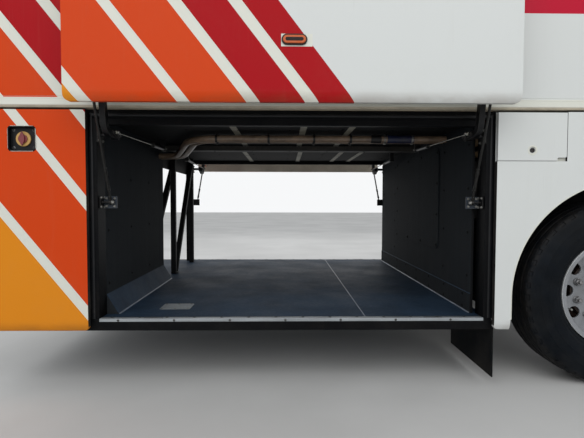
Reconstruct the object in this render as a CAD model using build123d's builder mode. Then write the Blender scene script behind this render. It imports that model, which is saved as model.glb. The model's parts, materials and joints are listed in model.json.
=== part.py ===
from build123d import *
import math
import os

os.makedirs("parts", exist_ok=True)

# A body section of a touring coach: the luggage bay, open from side to side, and the steered front axle.
# X runs forward from the rear splice face, Y from the centre plane towards the far side, Z upwards.
# Sizes are millimetres. Heights are measured from the road, depths inwards from the side skin.

# Body
body_width = 2550
splice_height = 925
wall_top = 2250
wall_thickness = 45
panel_thickness = 30
panel_bottom = 336
panel_tuck = 16
panel_tuck_height = 48
rail_bottom = 1508
rail_width = 59
rail_top = rail_bottom + rail_width
rail_stand_out = 10
rail_gap = 10
panel_top = rail_bottom - rail_gap

# Luggage bay
opening_rear = 573
opening_length = 2160
opening_front = opening_rear + opening_length
floor_height = 390
floor_thickness = 15
ceiling_thickness = 8
deck_frame_depth = 34
ceiling_height = rail_bottom - deck_frame_depth - ceiling_thickness
deck_thickness = 20
tube = 40
frame_depth = 45
sill_width = 50
sill_drop = 64
post_depth = 105
post_width = 60
post_reveal = 40
inner_wall = 15
front_wall_step = 28
rear_wall_end = 1300

# Luggage doors and their lifting gear
door_gap = 7
door_thickness = 40
link_length = 597
open_angle = 69
closed_angle = -93
far_door_angle = 49
arm_pivot_depth = 80
arm_pivot_height = ceiling_height - 88
link_pivot_depth = 95
link_pivot_height = 1018
arm_reach = 125
arm_bend = 62
arm_width = 38
arm_thickness = 29
arm_hub_radius = 25
link_thickness = 16
lug_thickness = 8
pin_gap = 0.3
side_gap = 9
gear_offset = 41
crank_radius = 60
crank_angle = 5
gas_rod_radius = 6
gas_tube_radius = 14

# Running gear
tyre_radius = 514
axle_height = tyre_radius
tyre_width = 298
tyre_face_depth = 48
rim_radius = 300
bead_radius = 286
arch_radius = 630
arch_margin = 87
axle_x = opening_front + arch_margin + arch_radius
front_margin = 80
section_length = axle_x + arch_radius + front_margin
liner_radius = arch_radius + 20
liner_thickness = 5
kingpin_depth = 300
rail_offset = 430

half_width = body_width / 2
skin_y = -half_width
door_centre = (opening_rear + opening_front) / 2
rear_face = opening_rear + post_reveal
front_face = opening_front - post_reveal
front_wall_face = front_face - front_wall_step
post_start = wall_thickness
post_end = post_start + post_depth
frame_top = floor_height - floor_thickness
deck_bottom = ceiling_height + ceiling_thickness


def level(height):
    return height - splice_height


def levels(low, high):
    return (level(low), level(high))


def near(outer, inner):
    return (skin_y + outer, skin_y + inner)


def across(depth):
    return (skin_y + depth, -skin_y - depth)


def bar(x, y, z, mode=Mode.ADD):
    with Locations(((x[0] + x[1]) / 2, (y[0] + y[1]) / 2, (z[0] + z[1]) / 2)):
        Box(x[1] - x[0], y[1] - y[0], z[1] - z[0], mode=mode)


def both_ends(x):
    """The same place at the rear and the front end of the luggage door."""
    low, high = x
    return (low, high), (2 * door_centre - high, 2 * door_centre - low)


def save(piece, name):
    piece.part.label = name
    export_step(piece.part, f"parts/{name}.step")


def save_sides(piece, name):
    """Writes the near side's piece and its mirror image on the far side."""
    save(piece, f"{name}_near")
    with BuildPart() as opposite:
        mirror(piece.part, about=Plane.XZ)
    save(opposite, f"{name}_far")


def spread(first, last, count):
    return [first + (last - first) * i / (count - 1) for i in range(count)]


# Floor frame: two sills, cross tubes and two inner runners under the bay floor
frame_start = 10
frame_end = opening_front + 7
with BuildPart() as floor_frame:
    for x in spread(frame_start, frame_end - tube, 8):
        bar((x, x + tube), across(post_start), levels(frame_top - frame_depth, frame_top))
    for y in (-rail_offset, rail_offset):
        bar((frame_start, frame_end), (y - tube / 2, y + tube / 2), levels(frame_top - frame_depth, frame_top))
    bar((frame_start, frame_end), near(post_start, post_start + sill_width),
        levels(floor_height - sill_drop, floor_height))
    bar((frame_start, frame_end), (-skin_y - post_start - sill_width, -skin_y - post_start),
        levels(floor_height - sill_drop, floor_height))
save(floor_frame, "floor_frame")

# Deck frame: the upper ladder frame that carries the passenger floor, with the header tubes over the doors
header_depth = 60
header_drop = 36
deck_top = rail_bottom
with BuildPart() as deck_frame:
    bar((frame_start, section_length - frame_start), near(post_start, post_start + sill_width),
        levels(ceiling_height, deck_top))
    bar((rear_face, front_face), near(header_depth, header_depth + tube),
        levels(ceiling_height - header_drop, ceiling_height))
    mirror(about=Plane.XZ)
    for x in spread(frame_start, section_length - frame_start - tube, 11):
        bar((x, x + tube), across(post_start), levels(deck_bottom, deck_top))
save(deck_frame, "deck_frame")

# Door posts at the four corners of the bay
with BuildPart() as door_posts:
    for post, cleat in zip(both_ends((rear_face - post_width, rear_face)),
                           both_ends((rear_face - post_width, opening_rear))):
        bar(post, near(post_start, post_end), levels(floor_height, ceiling_height))
        bar(cleat, near(panel_thickness, post_start), levels(floor_height, ceiling_height))
    mirror(about=Plane.XZ)
save(door_posts, "door_posts")

# End frames: corner posts with the plates that bolt to the neighbouring sections
splice_plate = 120
splice_plate_thickness = 10
splice_hole_radius = 9
splice_hole_depth = 125
splice_rise = 990
splice_low = splice_height - splice_rise / 2
splice_high = splice_height + splice_rise / 2
plate_edge = 60


def end_frame(face, inner):
    """Corner posts behind the splice plates; face is the bolted side and inner the side on the frame."""
    low, high = sorted((face, inner))
    behind = (high, high + tube) if face < inner else (low - tube, low)
    bar(behind, near(panel_thickness, post_start + sill_width), levels(floor_height, ceiling_height))
    for hole_height in (splice_low, splice_high):
        bar((low, high), near(post_start, post_start + splice_plate),
            levels(hole_height - plate_edge, hole_height + plate_edge))
        with Locations(((low + high) / 2, skin_y + splice_hole_depth, level(hole_height))):
            Cylinder(splice_hole_radius, high - low, rotation=(0, 90, 0), mode=Mode.SUBTRACT)


with BuildPart() as rear_end_frame:
    end_frame(0, splice_plate_thickness)
    mirror(about=Plane.XZ)
save(rear_end_frame, "rear_end_frame")

# Front frame: rails over the axle, cross tubes, bulkhead posts and the front splice plates
rail_low = 800
rail_high = 880
chassis_rail_width = 60
bulkhead_x = (front_wall_face + inner_wall, front_wall_face + inner_wall + tube)
front_rail_end = section_length - splice_plate_thickness
hanger_offset = 300
hanger_bottom = 395
with BuildPart() as front_frame:
    end_frame(section_length, section_length - splice_plate_thickness)
    bar((bulkhead_x[0], front_rail_end), (-rail_offset - chassis_rail_width / 2, -rail_offset + chassis_rail_width / 2),
        levels(rail_low, rail_high))
    bar(bulkhead_x, (-rail_offset - tube / 2, -rail_offset + tube / 2), levels(floor_height, rail_low))
    bar(bulkhead_x, (-rail_offset - tube / 2, -rail_offset + tube / 2), levels(rail_high, ceiling_height))
    bar((front_rail_end - 2 * tube, front_rail_end - tube),
        (-hanger_offset - tube / 2, -hanger_offset + tube / 2), levels(hanger_bottom, rail_high))
    mirror(about=Plane.XZ)
    for x in (axle_x - 430, axle_x + 430):
        bar((x - tube / 2, x + tube / 2), (-rail_offset, rail_offset), levels(rail_low, rail_high))
    bar((front_rail_end - tube, front_rail_end), across(post_start), levels(rail_low, rail_high))
save(front_frame, "front_frame")

# Open truss behind the bay floor, on the side that the rear wall leaves open
truss_post_depth = 1543
truss_post_width = 43
truss_far_depth = 275
truss_x = (rear_face, rear_face + 43)
strut_width = 38
brace_x = (rear_face - inner_wall - 45, rear_face - inner_wall)
brace_depths = (893, 1858)
header_board_height = 166
with BuildPart() as rear_truss:
    bar(truss_x, near(truss_post_depth - truss_post_width / 2, truss_post_depth + truss_post_width / 2),
        levels(floor_height, ceiling_height))
    with BuildSketch(Plane.YZ.offset(truss_x[0])):
        with BuildLine():
            Line((skin_y + truss_post_depth + 50, level(floor_height + strut_width / 2)),
                 (-skin_y - truss_far_depth, level(ceiling_height - strut_width)))
        trace(line_width=strut_width)
    extrude(amount=truss_x[1] - truss_x[0])
    bar(truss_x, (-skin_y - truss_far_depth - truss_post_width / 2, -skin_y - truss_far_depth + truss_post_width / 2),
        levels(floor_height, ceiling_height))
    bar(truss_x, near(truss_post_depth, truss_post_depth + 110), levels(floor_height, floor_height + 8))
    bar((rear_face - inner_wall, rear_face), (skin_y + rear_wall_end, -skin_y - truss_far_depth),
        levels(ceiling_height - header_board_height, ceiling_height))
    with BuildSketch(Plane.YZ.offset(brace_x[0])):
        with BuildLine():
            Line((skin_y + brace_depths[0], level(floor_height + strut_width / 2)),
                 (skin_y + brace_depths[1], level(ceiling_height - strut_width / 2)))
        trace(line_width=strut_width)
    extrude(amount=brace_x[1] - brace_x[0])
save(rear_truss, "rear_truss")

# Bay floor, walls and ceiling
with BuildPart() as bay_floor:
    bar((frame_start, front_wall_face), across(post_start + sill_width), levels(frame_top, floor_height))
    bar((front_wall_face, frame_end), across(post_start + sill_width), levels(frame_top, floor_height))
save(bay_floor, "bay_floor")

kick_height = 112
kick_reach = 67
kick_start = post_end
with BuildPart() as rear_wall:
    bar((rear_face - inner_wall, rear_face), near(post_end, rear_wall_end), levels(floor_height, ceiling_height))
    with BuildSketch(Plane.XZ.offset(-skin_y - kick_start)):
        with BuildLine():
            Polyline((rear_face, level(floor_height)), (rear_face + kick_reach, level(floor_height)),
                     (rear_face, level(floor_height + kick_height)), close=True)
        make_face()
    extrude(amount=-(rear_wall_end - kick_start))
save(rear_wall, "rear_wall")

kick_plate = 4
with BuildPart() as front_wall:
    bar((front_wall_face, front_wall_face + inner_wall), across(post_end), levels(floor_height, ceiling_height))
    bar((front_wall_face - kick_plate, front_wall_face), across(kick_start),
        levels(floor_height, floor_height + kick_height))
save(front_wall, "front_wall")

access_depths = (672, 1775)
access_heights = (700, 1390)
access_thickness = 6
with BuildPart() as wall_access_panel:
    bar((front_wall_face - access_thickness, front_wall_face), near(*access_depths), levels(*access_heights))
    fillet(wall_access_panel.edges().filter_by(Axis.X), radius=40)
save(wall_access_panel, "wall_access_panel")

header_inner = header_depth + tube
with BuildPart() as ceiling_board:
    bar((rear_face - inner_wall, front_wall_face + inner_wall), across(header_inner),
        levels(ceiling_height, deck_bottom))
save(ceiling_board, "ceiling_board")

centre_tube = (1170, 1275)
centre_tube_height = 39
with BuildPart() as ceiling_tube:
    bar((rear_face, front_wall_face), near(*centre_tube), levels(ceiling_height - centre_tube_height, ceiling_height))
save(ceiling_tube, "ceiling_tube")

strap_width = 39
strap_thickness = 3
strap_places_near = (729, 1149, 1438)
strap_places_far = (680, 1175, 1542, 1720)
with BuildPart() as ceiling_straps:
    for places, y in ((strap_places_near, near(header_inner, centre_tube[0])),
                      (strap_places_far, near(centre_tube[1], body_width - header_inner))):
        for along in places:
            x = opening_rear + along
            bar((x - strap_width / 2, x + strap_width / 2), y, levels(ceiling_height - strap_thickness, ceiling_height))
save(ceiling_straps, "ceiling_straps")

with BuildPart() as deck_board:
    bar((0, section_length), across(wall_thickness), levels(deck_top, deck_top + deck_thickness))
save(deck_board, "deck_board")

# Side skins
with BuildPart() as upper_wall:
    bar((0, section_length), near(0, wall_thickness), levels(rail_top, wall_top))
save_sides(upper_wall, "upper_wall")

rail_round = 8
with BuildPart() as rub_rails:
    bar((0, section_length), near(-rail_stand_out, wall_thickness), levels(rail_bottom, rail_top))
    outer_edges = rub_rails.edges().filter_by(Axis.X).group_by(Axis.Y)[0]
    fillet(outer_edges, radius=rail_round)
    mirror(about=Plane.XZ)
save(rub_rails, "rub_rails")


def panel_section(x, thickness):
    """Cross-section of a lower side panel, with its foot tucked inwards."""
    foot = level(panel_bottom)
    knee = (skin_y, foot + panel_tuck_height)
    toe = (skin_y + panel_tuck, foot)
    with BuildSketch(Plane.YZ.offset(x)) as section:
        with BuildLine():
            TangentArc(knee, toe, tangent=(0, -1))
            Polyline(toe, (skin_y + thickness, foot), (skin_y + thickness, level(panel_top)),
                     (skin_y, level(panel_top)), knee)
        make_face()
    return section.sketch


def corner_cut(x, toward, radius):
    """What a rounded lower corner takes off a panel whose edge is at x and which extends in direction toward."""
    with BuildSketch(Plane.XZ.offset(half_width + 20)) as cut:
        with Locations((x + toward * radius / 2, level(panel_bottom) + radius / 2)):
            Rectangle(radius, radius)
        with Locations((x + toward * radius, level(panel_bottom) + radius)):
            Circle(radius, mode=Mode.SUBTRACT)
    return cut.sketch


corner_radius = 26
corner_reach = 80

# Battery cut-off switch, in a recess of the near rear panel
switch_x = 247
switch_height = panel_top - 151
switch_recess = (146, 133)
switch_depth = 24
switch_corner = 20
switch_rim = 7
switch_back = 3
switch_proud = 2


def switch_outline(inset):
    """Rounded outline of the switch's recess, on the skin's plane."""
    with BuildSketch(Plane.XZ.offset(half_width)) as outline:
        with Locations((switch_x, level(switch_height))):
            RectangleRounded(switch_recess[0] - 2 * inset, switch_recess[1] - 2 * inset, switch_corner - inset)
    return outline.sketch


with BuildPart() as rear_skirt_near:
    extrude(panel_section(0, panel_thickness), amount=opening_rear)
    extrude(corner_cut(opening_rear, -1, corner_radius), amount=-corner_reach, mode=Mode.SUBTRACT)
    extrude(switch_outline(0), amount=-switch_depth, mode=Mode.SUBTRACT)
save(rear_skirt_near, "rear_skirt_near")

with BuildPart() as switch_frame:
    extrude(switch_outline(0), amount=-switch_depth)
    extrude(switch_outline(0), amount=switch_proud)
    extrude(switch_outline(switch_rim), amount=switch_proud, mode=Mode.SUBTRACT)
    extrude(switch_outline(switch_rim), amount=-(switch_depth - switch_back), mode=Mode.SUBTRACT)
save(switch_frame, "switch_frame")

switch_plane = Plane((switch_x, skin_y + switch_depth - switch_back, level(switch_height)), z_dir=(0, -1, 0),
                     x_dir=(1, 0, 0))
disc_thickness = 8
disc_radius = 38.5
with BuildPart() as switch_disc:
    with BuildSketch(switch_plane):
        Circle(disc_radius)
    extrude(amount=disc_thickness)
save(switch_disc, "switch_disc")

knob_width = 47
knob_height = 16
lever_length = 74
lever_width = 26
with BuildPart() as switch_knob:
    with BuildSketch(switch_plane.offset(disc_thickness)):
        Circle(knob_width / 2)
    extrude(amount=knob_height / 2)
    with BuildSketch(switch_plane.offset(disc_thickness + knob_height / 2)):
        SlotOverall(lever_length, lever_width, rotation=90)
    extrude(amount=knob_height / 2)
save(switch_knob, "switch_knob")

# Front side panel with the wheel arch, and the service flap at its upper rear corner
flap_length = 370
flap_bottom = panel_top - 256
flap_gap = 3
flap_thickness = 14
flap_recess = 24
flap_hinge = (skin_y + flap_thickness / 2, level(panel_top - 15))
flap_x = (opening_front + 2, opening_front + flap_length)
hinge_lug = 14
hinge_radius = 4
hinge_pin_radius = 2
hinge_pin = 34
hinge_slot = 20
hinge_cover = 2
notch_length = 50
notch_height = 17
notch_round = 8
lock_x = opening_front + 186
lock_height = panel_top - 201
lock_radius = 20
lock_depth = 4
hinge_places = spread(flap_x[0] + 90, flap_x[1] - 90, 2)
with BuildPart() as arch_panel:
    extrude(panel_section(opening_front, panel_thickness), amount=section_length - opening_front)
    extrude(corner_cut(opening_front, 1, corner_radius), amount=-corner_reach, mode=Mode.SUBTRACT)
    with BuildSketch(Plane.XZ.offset(half_width + 1)):
        with Locations((axle_x, level(axle_height))):
            Circle(arch_radius)
        with Locations((axle_x, level(axle_height))):
            Rectangle(2 * arch_radius, axle_height - panel_bottom + 1, align=(Align.CENTER, Align.MAX))
    extrude(amount=-(panel_thickness + 2), mode=Mode.SUBTRACT)
    bar((opening_front - 1, flap_x[1] + flap_gap), near(-1, flap_recess),
        levels(flap_bottom - flap_gap, panel_top + 1), mode=Mode.SUBTRACT)
    for x in hinge_places:
        bar((x - hinge_lug / 2, x + hinge_lug / 2), (flap_hinge[0], skin_y + flap_recess),
            (flap_hinge[1] - hinge_radius, flap_hinge[1] + hinge_radius))
        with Locations((x, *flap_hinge)):
            Cylinder(hinge_radius, hinge_lug, rotation=(0, 90, 0))
            Cylinder(hinge_pin_radius, hinge_pin, rotation=(0, 90, 0))
save_sides(arch_panel, "arch_panel")

with BuildPart() as service_flap:
    bar(flap_x, near(0, flap_thickness), levels(flap_bottom, panel_top - flap_gap))
    for x in hinge_places:
        bar((x - hinge_slot / 2, x + hinge_slot / 2), near(hinge_cover, flap_thickness + 1),
            (flap_hinge[1] - hinge_slot / 2, level(panel_top)), mode=Mode.SUBTRACT)
        with Locations((x, *flap_hinge)):
            Cylinder(hinge_pin_radius + pin_gap, hinge_pin + 1, rotation=(0, 90, 0), mode=Mode.SUBTRACT)
    bar((flap_x[1] - notch_length, flap_x[1] + 1), near(-1, flap_thickness + 1),
        levels(flap_bottom - 1, flap_bottom + notch_height), mode=Mode.SUBTRACT)
    notch_edges = service_flap.edges().filter_by(Axis.Y).filter_by_position(
        Axis.Z, level(flap_bottom + notch_height) - 1, level(flap_bottom + notch_height) + 1)
    fillet(notch_edges, radius=notch_round)
    with BuildSketch(Plane.XZ.offset(half_width)):
        with Locations((lock_x, level(lock_height))):
            Circle(lock_radius)
    extrude(amount=-lock_depth, mode=Mode.SUBTRACT)
save_sides(service_flap, "service_flap")

# Door seals and sill trims
seal_width = 18
seal_thickness = 4
seal_top = panel_top - 8
with BuildPart() as door_seals:
    for x in both_ends((opening_rear + 2, opening_rear + 2 + seal_width)):
        bar(x, near(post_start - seal_thickness, post_start), levels(floor_height + 2, seal_top))
    bar((opening_rear + 2, opening_front - 2), near(post_start - seal_thickness, post_start),
        levels(seal_top - seal_width, seal_top))
    mirror(about=Plane.XZ)
save(door_seals, "door_seals")

trim_thickness = 2
trim_width = 34
trim_face = 15
slot_length = 100
slot_depth = 16
slot_inset = 325
with BuildPart() as sill_trims:
    bar((rear_face, front_face), near(post_start - trim_thickness, post_start + trim_width),
        levels(floor_height, floor_height + trim_thickness))
    bar((rear_face, front_face), near(post_start - trim_thickness, post_start),
        levels(floor_height - trim_face, floor_height))
    for x in (opening_rear + slot_inset, opening_front - slot_inset + 14):
        bar((x - slot_length / 2, x + slot_length / 2), near(post_start + slot_depth / 2, post_start + 1.5 * slot_depth),
            levels(floor_height, floor_height + trim_thickness), mode=Mode.SUBTRACT)
    mirror(about=Plane.XZ)
save(sill_trims, "sill_trims")

# Wheel arch liners and mud flaps
liner_inner = 690
liner_floor = 400
wheelhouse_low = 620
with BuildPart() as arch_liners:
    with BuildSketch(Plane.XZ.offset(half_width - panel_thickness)):
        with Locations((axle_x, level(axle_height))):
            Circle(liner_radius + liner_thickness)
            Circle(liner_radius, mode=Mode.SUBTRACT)
        with Locations((axle_x, level(liner_floor))):
            Rectangle(3 * liner_radius, 2 * liner_radius, align=(Align.CENTER, Align.MAX), mode=Mode.SUBTRACT)
    extrude(amount=-(liner_inner - panel_thickness))
    with BuildSketch(Plane.XZ.offset(half_width - liner_inner + liner_thickness)):
        with Locations((axle_x, level(axle_height))):
            Circle(liner_radius + 1)
        with Locations((axle_x, level(wheelhouse_low))):
            Rectangle(3 * liner_radius, 2 * liner_radius, align=(Align.CENTER, Align.MAX), mode=Mode.SUBTRACT)
    extrude(amount=-liner_thickness)
    mirror(about=Plane.XZ)
save(arch_liners, "arch_liners")

flap_sheet = 6
with BuildPart() as mud_flaps:
    bar((frame_end, frame_end + flap_sheet), near(35, 620), levels(65, frame_top))
    mirror(about=Plane.XZ)
save(mud_flaps, "mud_flaps")


# Lifting gear. A door hangs on two cranked arms and two straight links of the same length, which keep it upright.
def reach(angle):
    """How far a link's end stands outwards of its pivot, and above it."""
    return link_length * math.cos(math.radians(angle)), link_length * math.sin(math.radians(angle))


open_out, open_up = reach(open_angle)
closed_out, closed_up = reach(closed_angle)
lift_out = open_out - closed_out
lift_up = open_up - closed_up
far_out = reach(far_door_angle)[0] - closed_out
far_up = reach(far_door_angle)[1] - closed_up
arm_pivot = (skin_y + arm_pivot_depth, level(arm_pivot_height))
link_pivot = (skin_y + link_pivot_depth, level(link_pivot_height))
link_x = (rear_face + gear_offset, rear_face + gear_offset + link_thickness)
arm_x = (link_x[1] + side_gap, link_x[1] + side_gap + arm_thickness)
crank_x = (arm_x[1], arm_x[1] + lug_thickness)
eye_gap = 0.5
crank_pin_length = 6
eye_x = (crank_x[1] + crank_pin_length, crank_x[1] + crank_pin_length + 2 * gas_rod_radius + 2)
arm_pin_radius = 12
link_pin_radius = 7
door_pin_radius = 8


def turned(point, pivot, angle):
    """A point of the near side turned about a pivot, positive from outwards to upwards."""
    a = math.radians(-angle)
    y, z = point[0] - pivot[0], point[1] - pivot[1]
    return pivot[0] + y * math.cos(a) - z * math.sin(a), pivot[1] + y * math.sin(a) + z * math.cos(a)


def save_at_angle(piece, name, pivot):
    """Writes the near piece as it stands fully open, and the far one turned down to the far door's angle."""
    save(piece, f"{name}_near")
    turn = open_angle - far_door_angle
    axis = Axis((0, pivot[0], pivot[1]), (1, 0, 0))
    with BuildPart() as opposite:
        mirror(piece.part.rotate(axis, turn), about=Plane.XZ)
    save(opposite, f"{name}_far")


arm_tip = (arm_pivot[0] - open_out, arm_pivot[1] + open_up)
arm_elbow = (arm_pivot[0] - arm_reach, arm_pivot[1])
crank_tip = (arm_pivot[0] - crank_radius * math.cos(math.radians(crank_angle)),
             arm_pivot[1] + crank_radius * math.sin(math.radians(crank_angle)))
crank_pin_radius = 7
with BuildPart() as door_arms:
    for x, crank, pin in zip(both_ends(arm_x), both_ends(crank_x),
                             both_ends((crank_x[1], eye_x[0] - eye_gap))):
        with BuildSketch(Plane.YZ.offset(x[0])):
            with BuildLine():
                FilletPolyline(arm_pivot, arm_elbow, arm_tip, radius=arm_bend)
            trace(line_width=arm_width)
            with Locations(arm_pivot):
                Circle(arm_hub_radius)
            with Locations(arm_tip):
                Circle(arm_width / 2)
        extrude(amount=arm_thickness)
        with BuildSketch(Plane.YZ.offset(crank[0])):
            with BuildLine():
                Line(arm_pivot, crank_tip)
            trace(line_width=arm_width * 0.7)
            with Locations(arm_pivot):
                Circle(arm_hub_radius)
            with Locations(crank_tip):
                Circle(arm_width * 0.35)
        extrude(amount=lug_thickness)
        with BuildSketch(Plane.YZ.offset(pin[0])):
            with Locations(crank_tip):
                Circle(crank_pin_radius)
        extrude(amount=pin[1] - pin[0])
        with BuildSketch(Plane.YZ.offset(min(x[0], crank[0]))):
            with Locations(arm_pivot):
                Circle(arm_pin_radius + pin_gap)
            with Locations(arm_tip):
                Circle(door_pin_radius + pin_gap)
        extrude(amount=arm_thickness + lug_thickness, mode=Mode.SUBTRACT)
save_at_angle(door_arms, "door_arms", arm_pivot)

link_tip = (link_pivot[0] - open_out, link_pivot[1] + open_up)
link_eye_radius = 14
link_rod_radius = 7
turnbuckle_radius = 10
turnbuckle_length = 120
link_direction = Vector(0, link_tip[0] - link_pivot[0], link_tip[1] - link_pivot[1]).normalized()
with BuildPart() as guide_links:
    for x in both_ends(link_x):
        middle = (x[0] + x[1]) / 2
        with BuildSketch(Plane.YZ.offset(x[0])):
            with Locations(link_pivot, link_tip):
                Circle(link_eye_radius)
        extrude(amount=link_thickness)
        foot = Vector(middle, link_pivot[0], link_pivot[1]) + link_direction * (link_eye_radius * 0.8)
        with BuildSketch(Plane(foot, z_dir=link_direction)):
            Circle(link_rod_radius)
        extrude(amount=link_length - 1.6 * link_eye_radius)
        waist = Vector(middle, link_pivot[0], link_pivot[1]) + link_direction * (0.28 * link_length)
        with BuildSketch(Plane(waist, z_dir=link_direction)):
            RegularPolygon(turnbuckle_radius, 6)
        extrude(amount=turnbuckle_length)
        with BuildSketch(Plane.YZ.offset(x[0])):
            with Locations(link_pivot, link_tip):
                Circle(link_pin_radius + pin_gap)
        extrude(amount=link_thickness, mode=Mode.SUBTRACT)
save_at_angle(guide_links, "guide_links", link_pivot)

# Wall brackets with the fixed pins of the arms and links
bracket_plate = 6
flange_depth = 20
flange_spare = 20
with BuildPart() as door_brackets:
    for end in (0, 1):
        for pivot, size, radius, reach_x in (
            (arm_pivot, (80, 80), arm_pin_radius, crank_x[1]),
            (link_pivot, (66, 66), link_pin_radius, link_x[1]),
        ):
            plate = both_ends((rear_face, rear_face + bracket_plate))[end]
            pin = both_ends((rear_face + bracket_plate, reach_x))[end]
            bar(plate, (pivot[0] - size[0] / 2 + 5, pivot[0] + size[0] / 2 - 5),
                (pivot[1] - size[1] / 2, pivot[1] + size[1] / 2))
            with BuildSketch(Plane.YZ.offset(pin[0])):
                with Locations(pivot):
                    Circle(radius)
            extrude(amount=pin[1] - pin[0])
        flange = both_ends((rear_face, link_x[1] + flange_spare))[end]
        bar(flange, (link_pivot[0] + flange_depth, link_pivot[0] + flange_depth + bracket_plate),
            (link_pivot[1] - 33, link_pivot[1] + 33))
    mirror(about=Plane.XZ)
save(door_brackets, "door_brackets")

# Gas springs: a fixed tube under the ceiling and a rod that follows the crank
gas_anchor_depth = 900
gas_anchor_drop = 61.5
gas_anchor = (skin_y + gas_anchor_depth, level(ceiling_height - gas_anchor_drop))
gas_span = Vector(0, gas_anchor[0] - crank_tip[0], gas_anchor[1] - crank_tip[1])
gas_direction = gas_span.normalized()
gas_length = gas_span.length
gas_tube_length = 250
gas_rod_length = gas_length - gas_tube_length + 60
gas_stroke = crank_radius * 2
gas_bore_spare = 80
anchor_width = 34
anchor_length = 26
gas_eye_radius = 12


def gas_plane(x, along):
    start = Vector((x[0] + x[1]) / 2, crank_tip[0], crank_tip[1]) + gas_direction * along
    return Plane(start, z_dir=gas_direction)


with BuildPart() as gas_cylinders:
    for x in both_ends(eye_x):
        middle = (x[0] + x[1]) / 2
        with BuildSketch(gas_plane(x, gas_length - gas_tube_length)):
            Circle(gas_tube_radius)
        extrude(amount=gas_tube_length)
        bar((middle - anchor_width / 2, middle + anchor_width / 2),
            (gas_anchor[0] - anchor_length / 2, gas_anchor[0] + anchor_length / 2),
            (gas_anchor[1] - anchor_width / 2, level(ceiling_height)))
        with BuildSketch(gas_plane(x, gas_length - gas_tube_length)):
            Circle(gas_rod_radius + pin_gap)
        extrude(amount=gas_stroke + gas_bore_spare, mode=Mode.SUBTRACT)
    mirror(about=Plane.XZ)
save(gas_cylinders, "gas_cylinders")

far_crank = turned(crank_tip, arm_pivot, far_door_angle - open_angle)
gas_ratio = gas_stroke / math.radians(open_angle - closed_angle)
far_slide = gas_ratio * math.radians(open_angle - far_door_angle)
with BuildPart() as gas_rods:
    for x in both_ends(eye_x):
        with BuildSketch(Plane.YZ.offset(x[0])):
            with Locations(crank_tip):
                Circle(gas_eye_radius)
        extrude(amount=x[1] - x[0])
        with BuildSketch(gas_plane(x, gas_eye_radius / 2)):
            Circle(gas_rod_radius)
        extrude(amount=gas_rod_length)
save(gas_rods, "gas_rods_near")
with BuildPart() as gas_rods_far:
    mirror(gas_rods.part.moved(Location(gas_direction * far_slide)), about=Plane.XZ)
save(gas_rods_far, "gas_rods_far")

# Luggage doors, drawn closed and then carried to where the links hold them
door_x = (opening_rear + door_gap, opening_front - door_gap)
arm_joint = (arm_pivot[0] - closed_out, arm_pivot[1] + closed_up)
link_joint = (link_pivot[0] - closed_out, link_pivot[1] + closed_up)
door_back = skin_y + door_thickness
pocket_depth = 34
pocket_margin = 45
pocket_rows = 2
pocket_columns = 5
pocket_rib = 30
lamp_x = door_centre + 12
lamp_height = 630
lamp_length = 120
lamp_width = 51
lamp_proud = 12


def put_up(shape, out, up):
    return shape.moved(Location((0, -out, up)))


with BuildPart() as luggage_door:
    extrude(panel_section(door_x[0], door_thickness), amount=door_x[1] - door_x[0])
    extrude(corner_cut(door_x[0], 1, corner_radius), amount=-corner_reach, mode=Mode.SUBTRACT)
    extrude(corner_cut(door_x[1], -1, corner_radius), amount=-corner_reach, mode=Mode.SUBTRACT)
    pocket_x = (arm_x[1] + lug_thickness + 17, 2 * door_centre - arm_x[1] - lug_thickness - 17)
    pocket_z = levels(panel_bottom + panel_tuck_height + pocket_margin, panel_top - pocket_margin)
    pocket_length = (pocket_x[1] - pocket_x[0] - (pocket_columns - 1) * pocket_rib) / pocket_columns
    pocket_height = (pocket_z[1] - pocket_z[0] - (pocket_rows - 1) * pocket_rib) / pocket_rows
    for column in range(pocket_columns):
        for row in range(pocket_rows):
            x0 = pocket_x[0] + column * (pocket_length + pocket_rib)
            z0 = pocket_z[0] + row * (pocket_height + pocket_rib)
            bar((x0, x0 + pocket_length), (door_back - pocket_depth, door_back + 1),
                (z0, z0 + pocket_height), mode=Mode.SUBTRACT)
    for joint, inner_side, radius, pin_end in (
        (arm_joint, arm_x[1], door_pin_radius, arm_x[0]),
        (link_joint, link_x[1], link_pin_radius, link_x[0]),
    ):
        for plate, pin in zip(both_ends((inner_side + 2, inner_side + 2 + lug_thickness)),
                              both_ends((pin_end, inner_side + 2))):
            with BuildSketch(Plane.YZ.offset(plate[0])):
                with BuildLine():
                    Polyline((door_back - 2, joint[1] - 30), (door_back - 2, joint[1] + 30),
                             (joint[0], joint[1] + 11), (joint[0], joint[1] - 11), close=True)
                make_face()
                with Locations(joint):
                    Circle(11)
            extrude(amount=lug_thickness)
            with BuildSketch(Plane.YZ.offset(pin[0])):
                with Locations(joint):
                    Circle(radius)
            extrude(amount=pin[1] - pin[0])

with BuildPart() as marker_lamp:
    with BuildSketch(Plane.XZ.offset(half_width)):
        with Locations((lamp_x, level(lamp_height))):
            SlotOverall(lamp_length, lamp_width)
    extrude(amount=lamp_proud)
    fillet(marker_lamp.faces().sort_by(Axis.Y)[0].edges(), radius=4)

for piece, name in ((luggage_door, "luggage_door"), (marker_lamp, "marker_lamp")):
    with BuildPart() as raised:
        add(put_up(piece.part, lift_out, lift_up))
    save(raised, f"{name}_near")
    with BuildPart() as half_raised:
        mirror(put_up(piece.part, far_out, far_up), about=Plane.XZ)
    save(half_raised, f"{name}_far")

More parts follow.
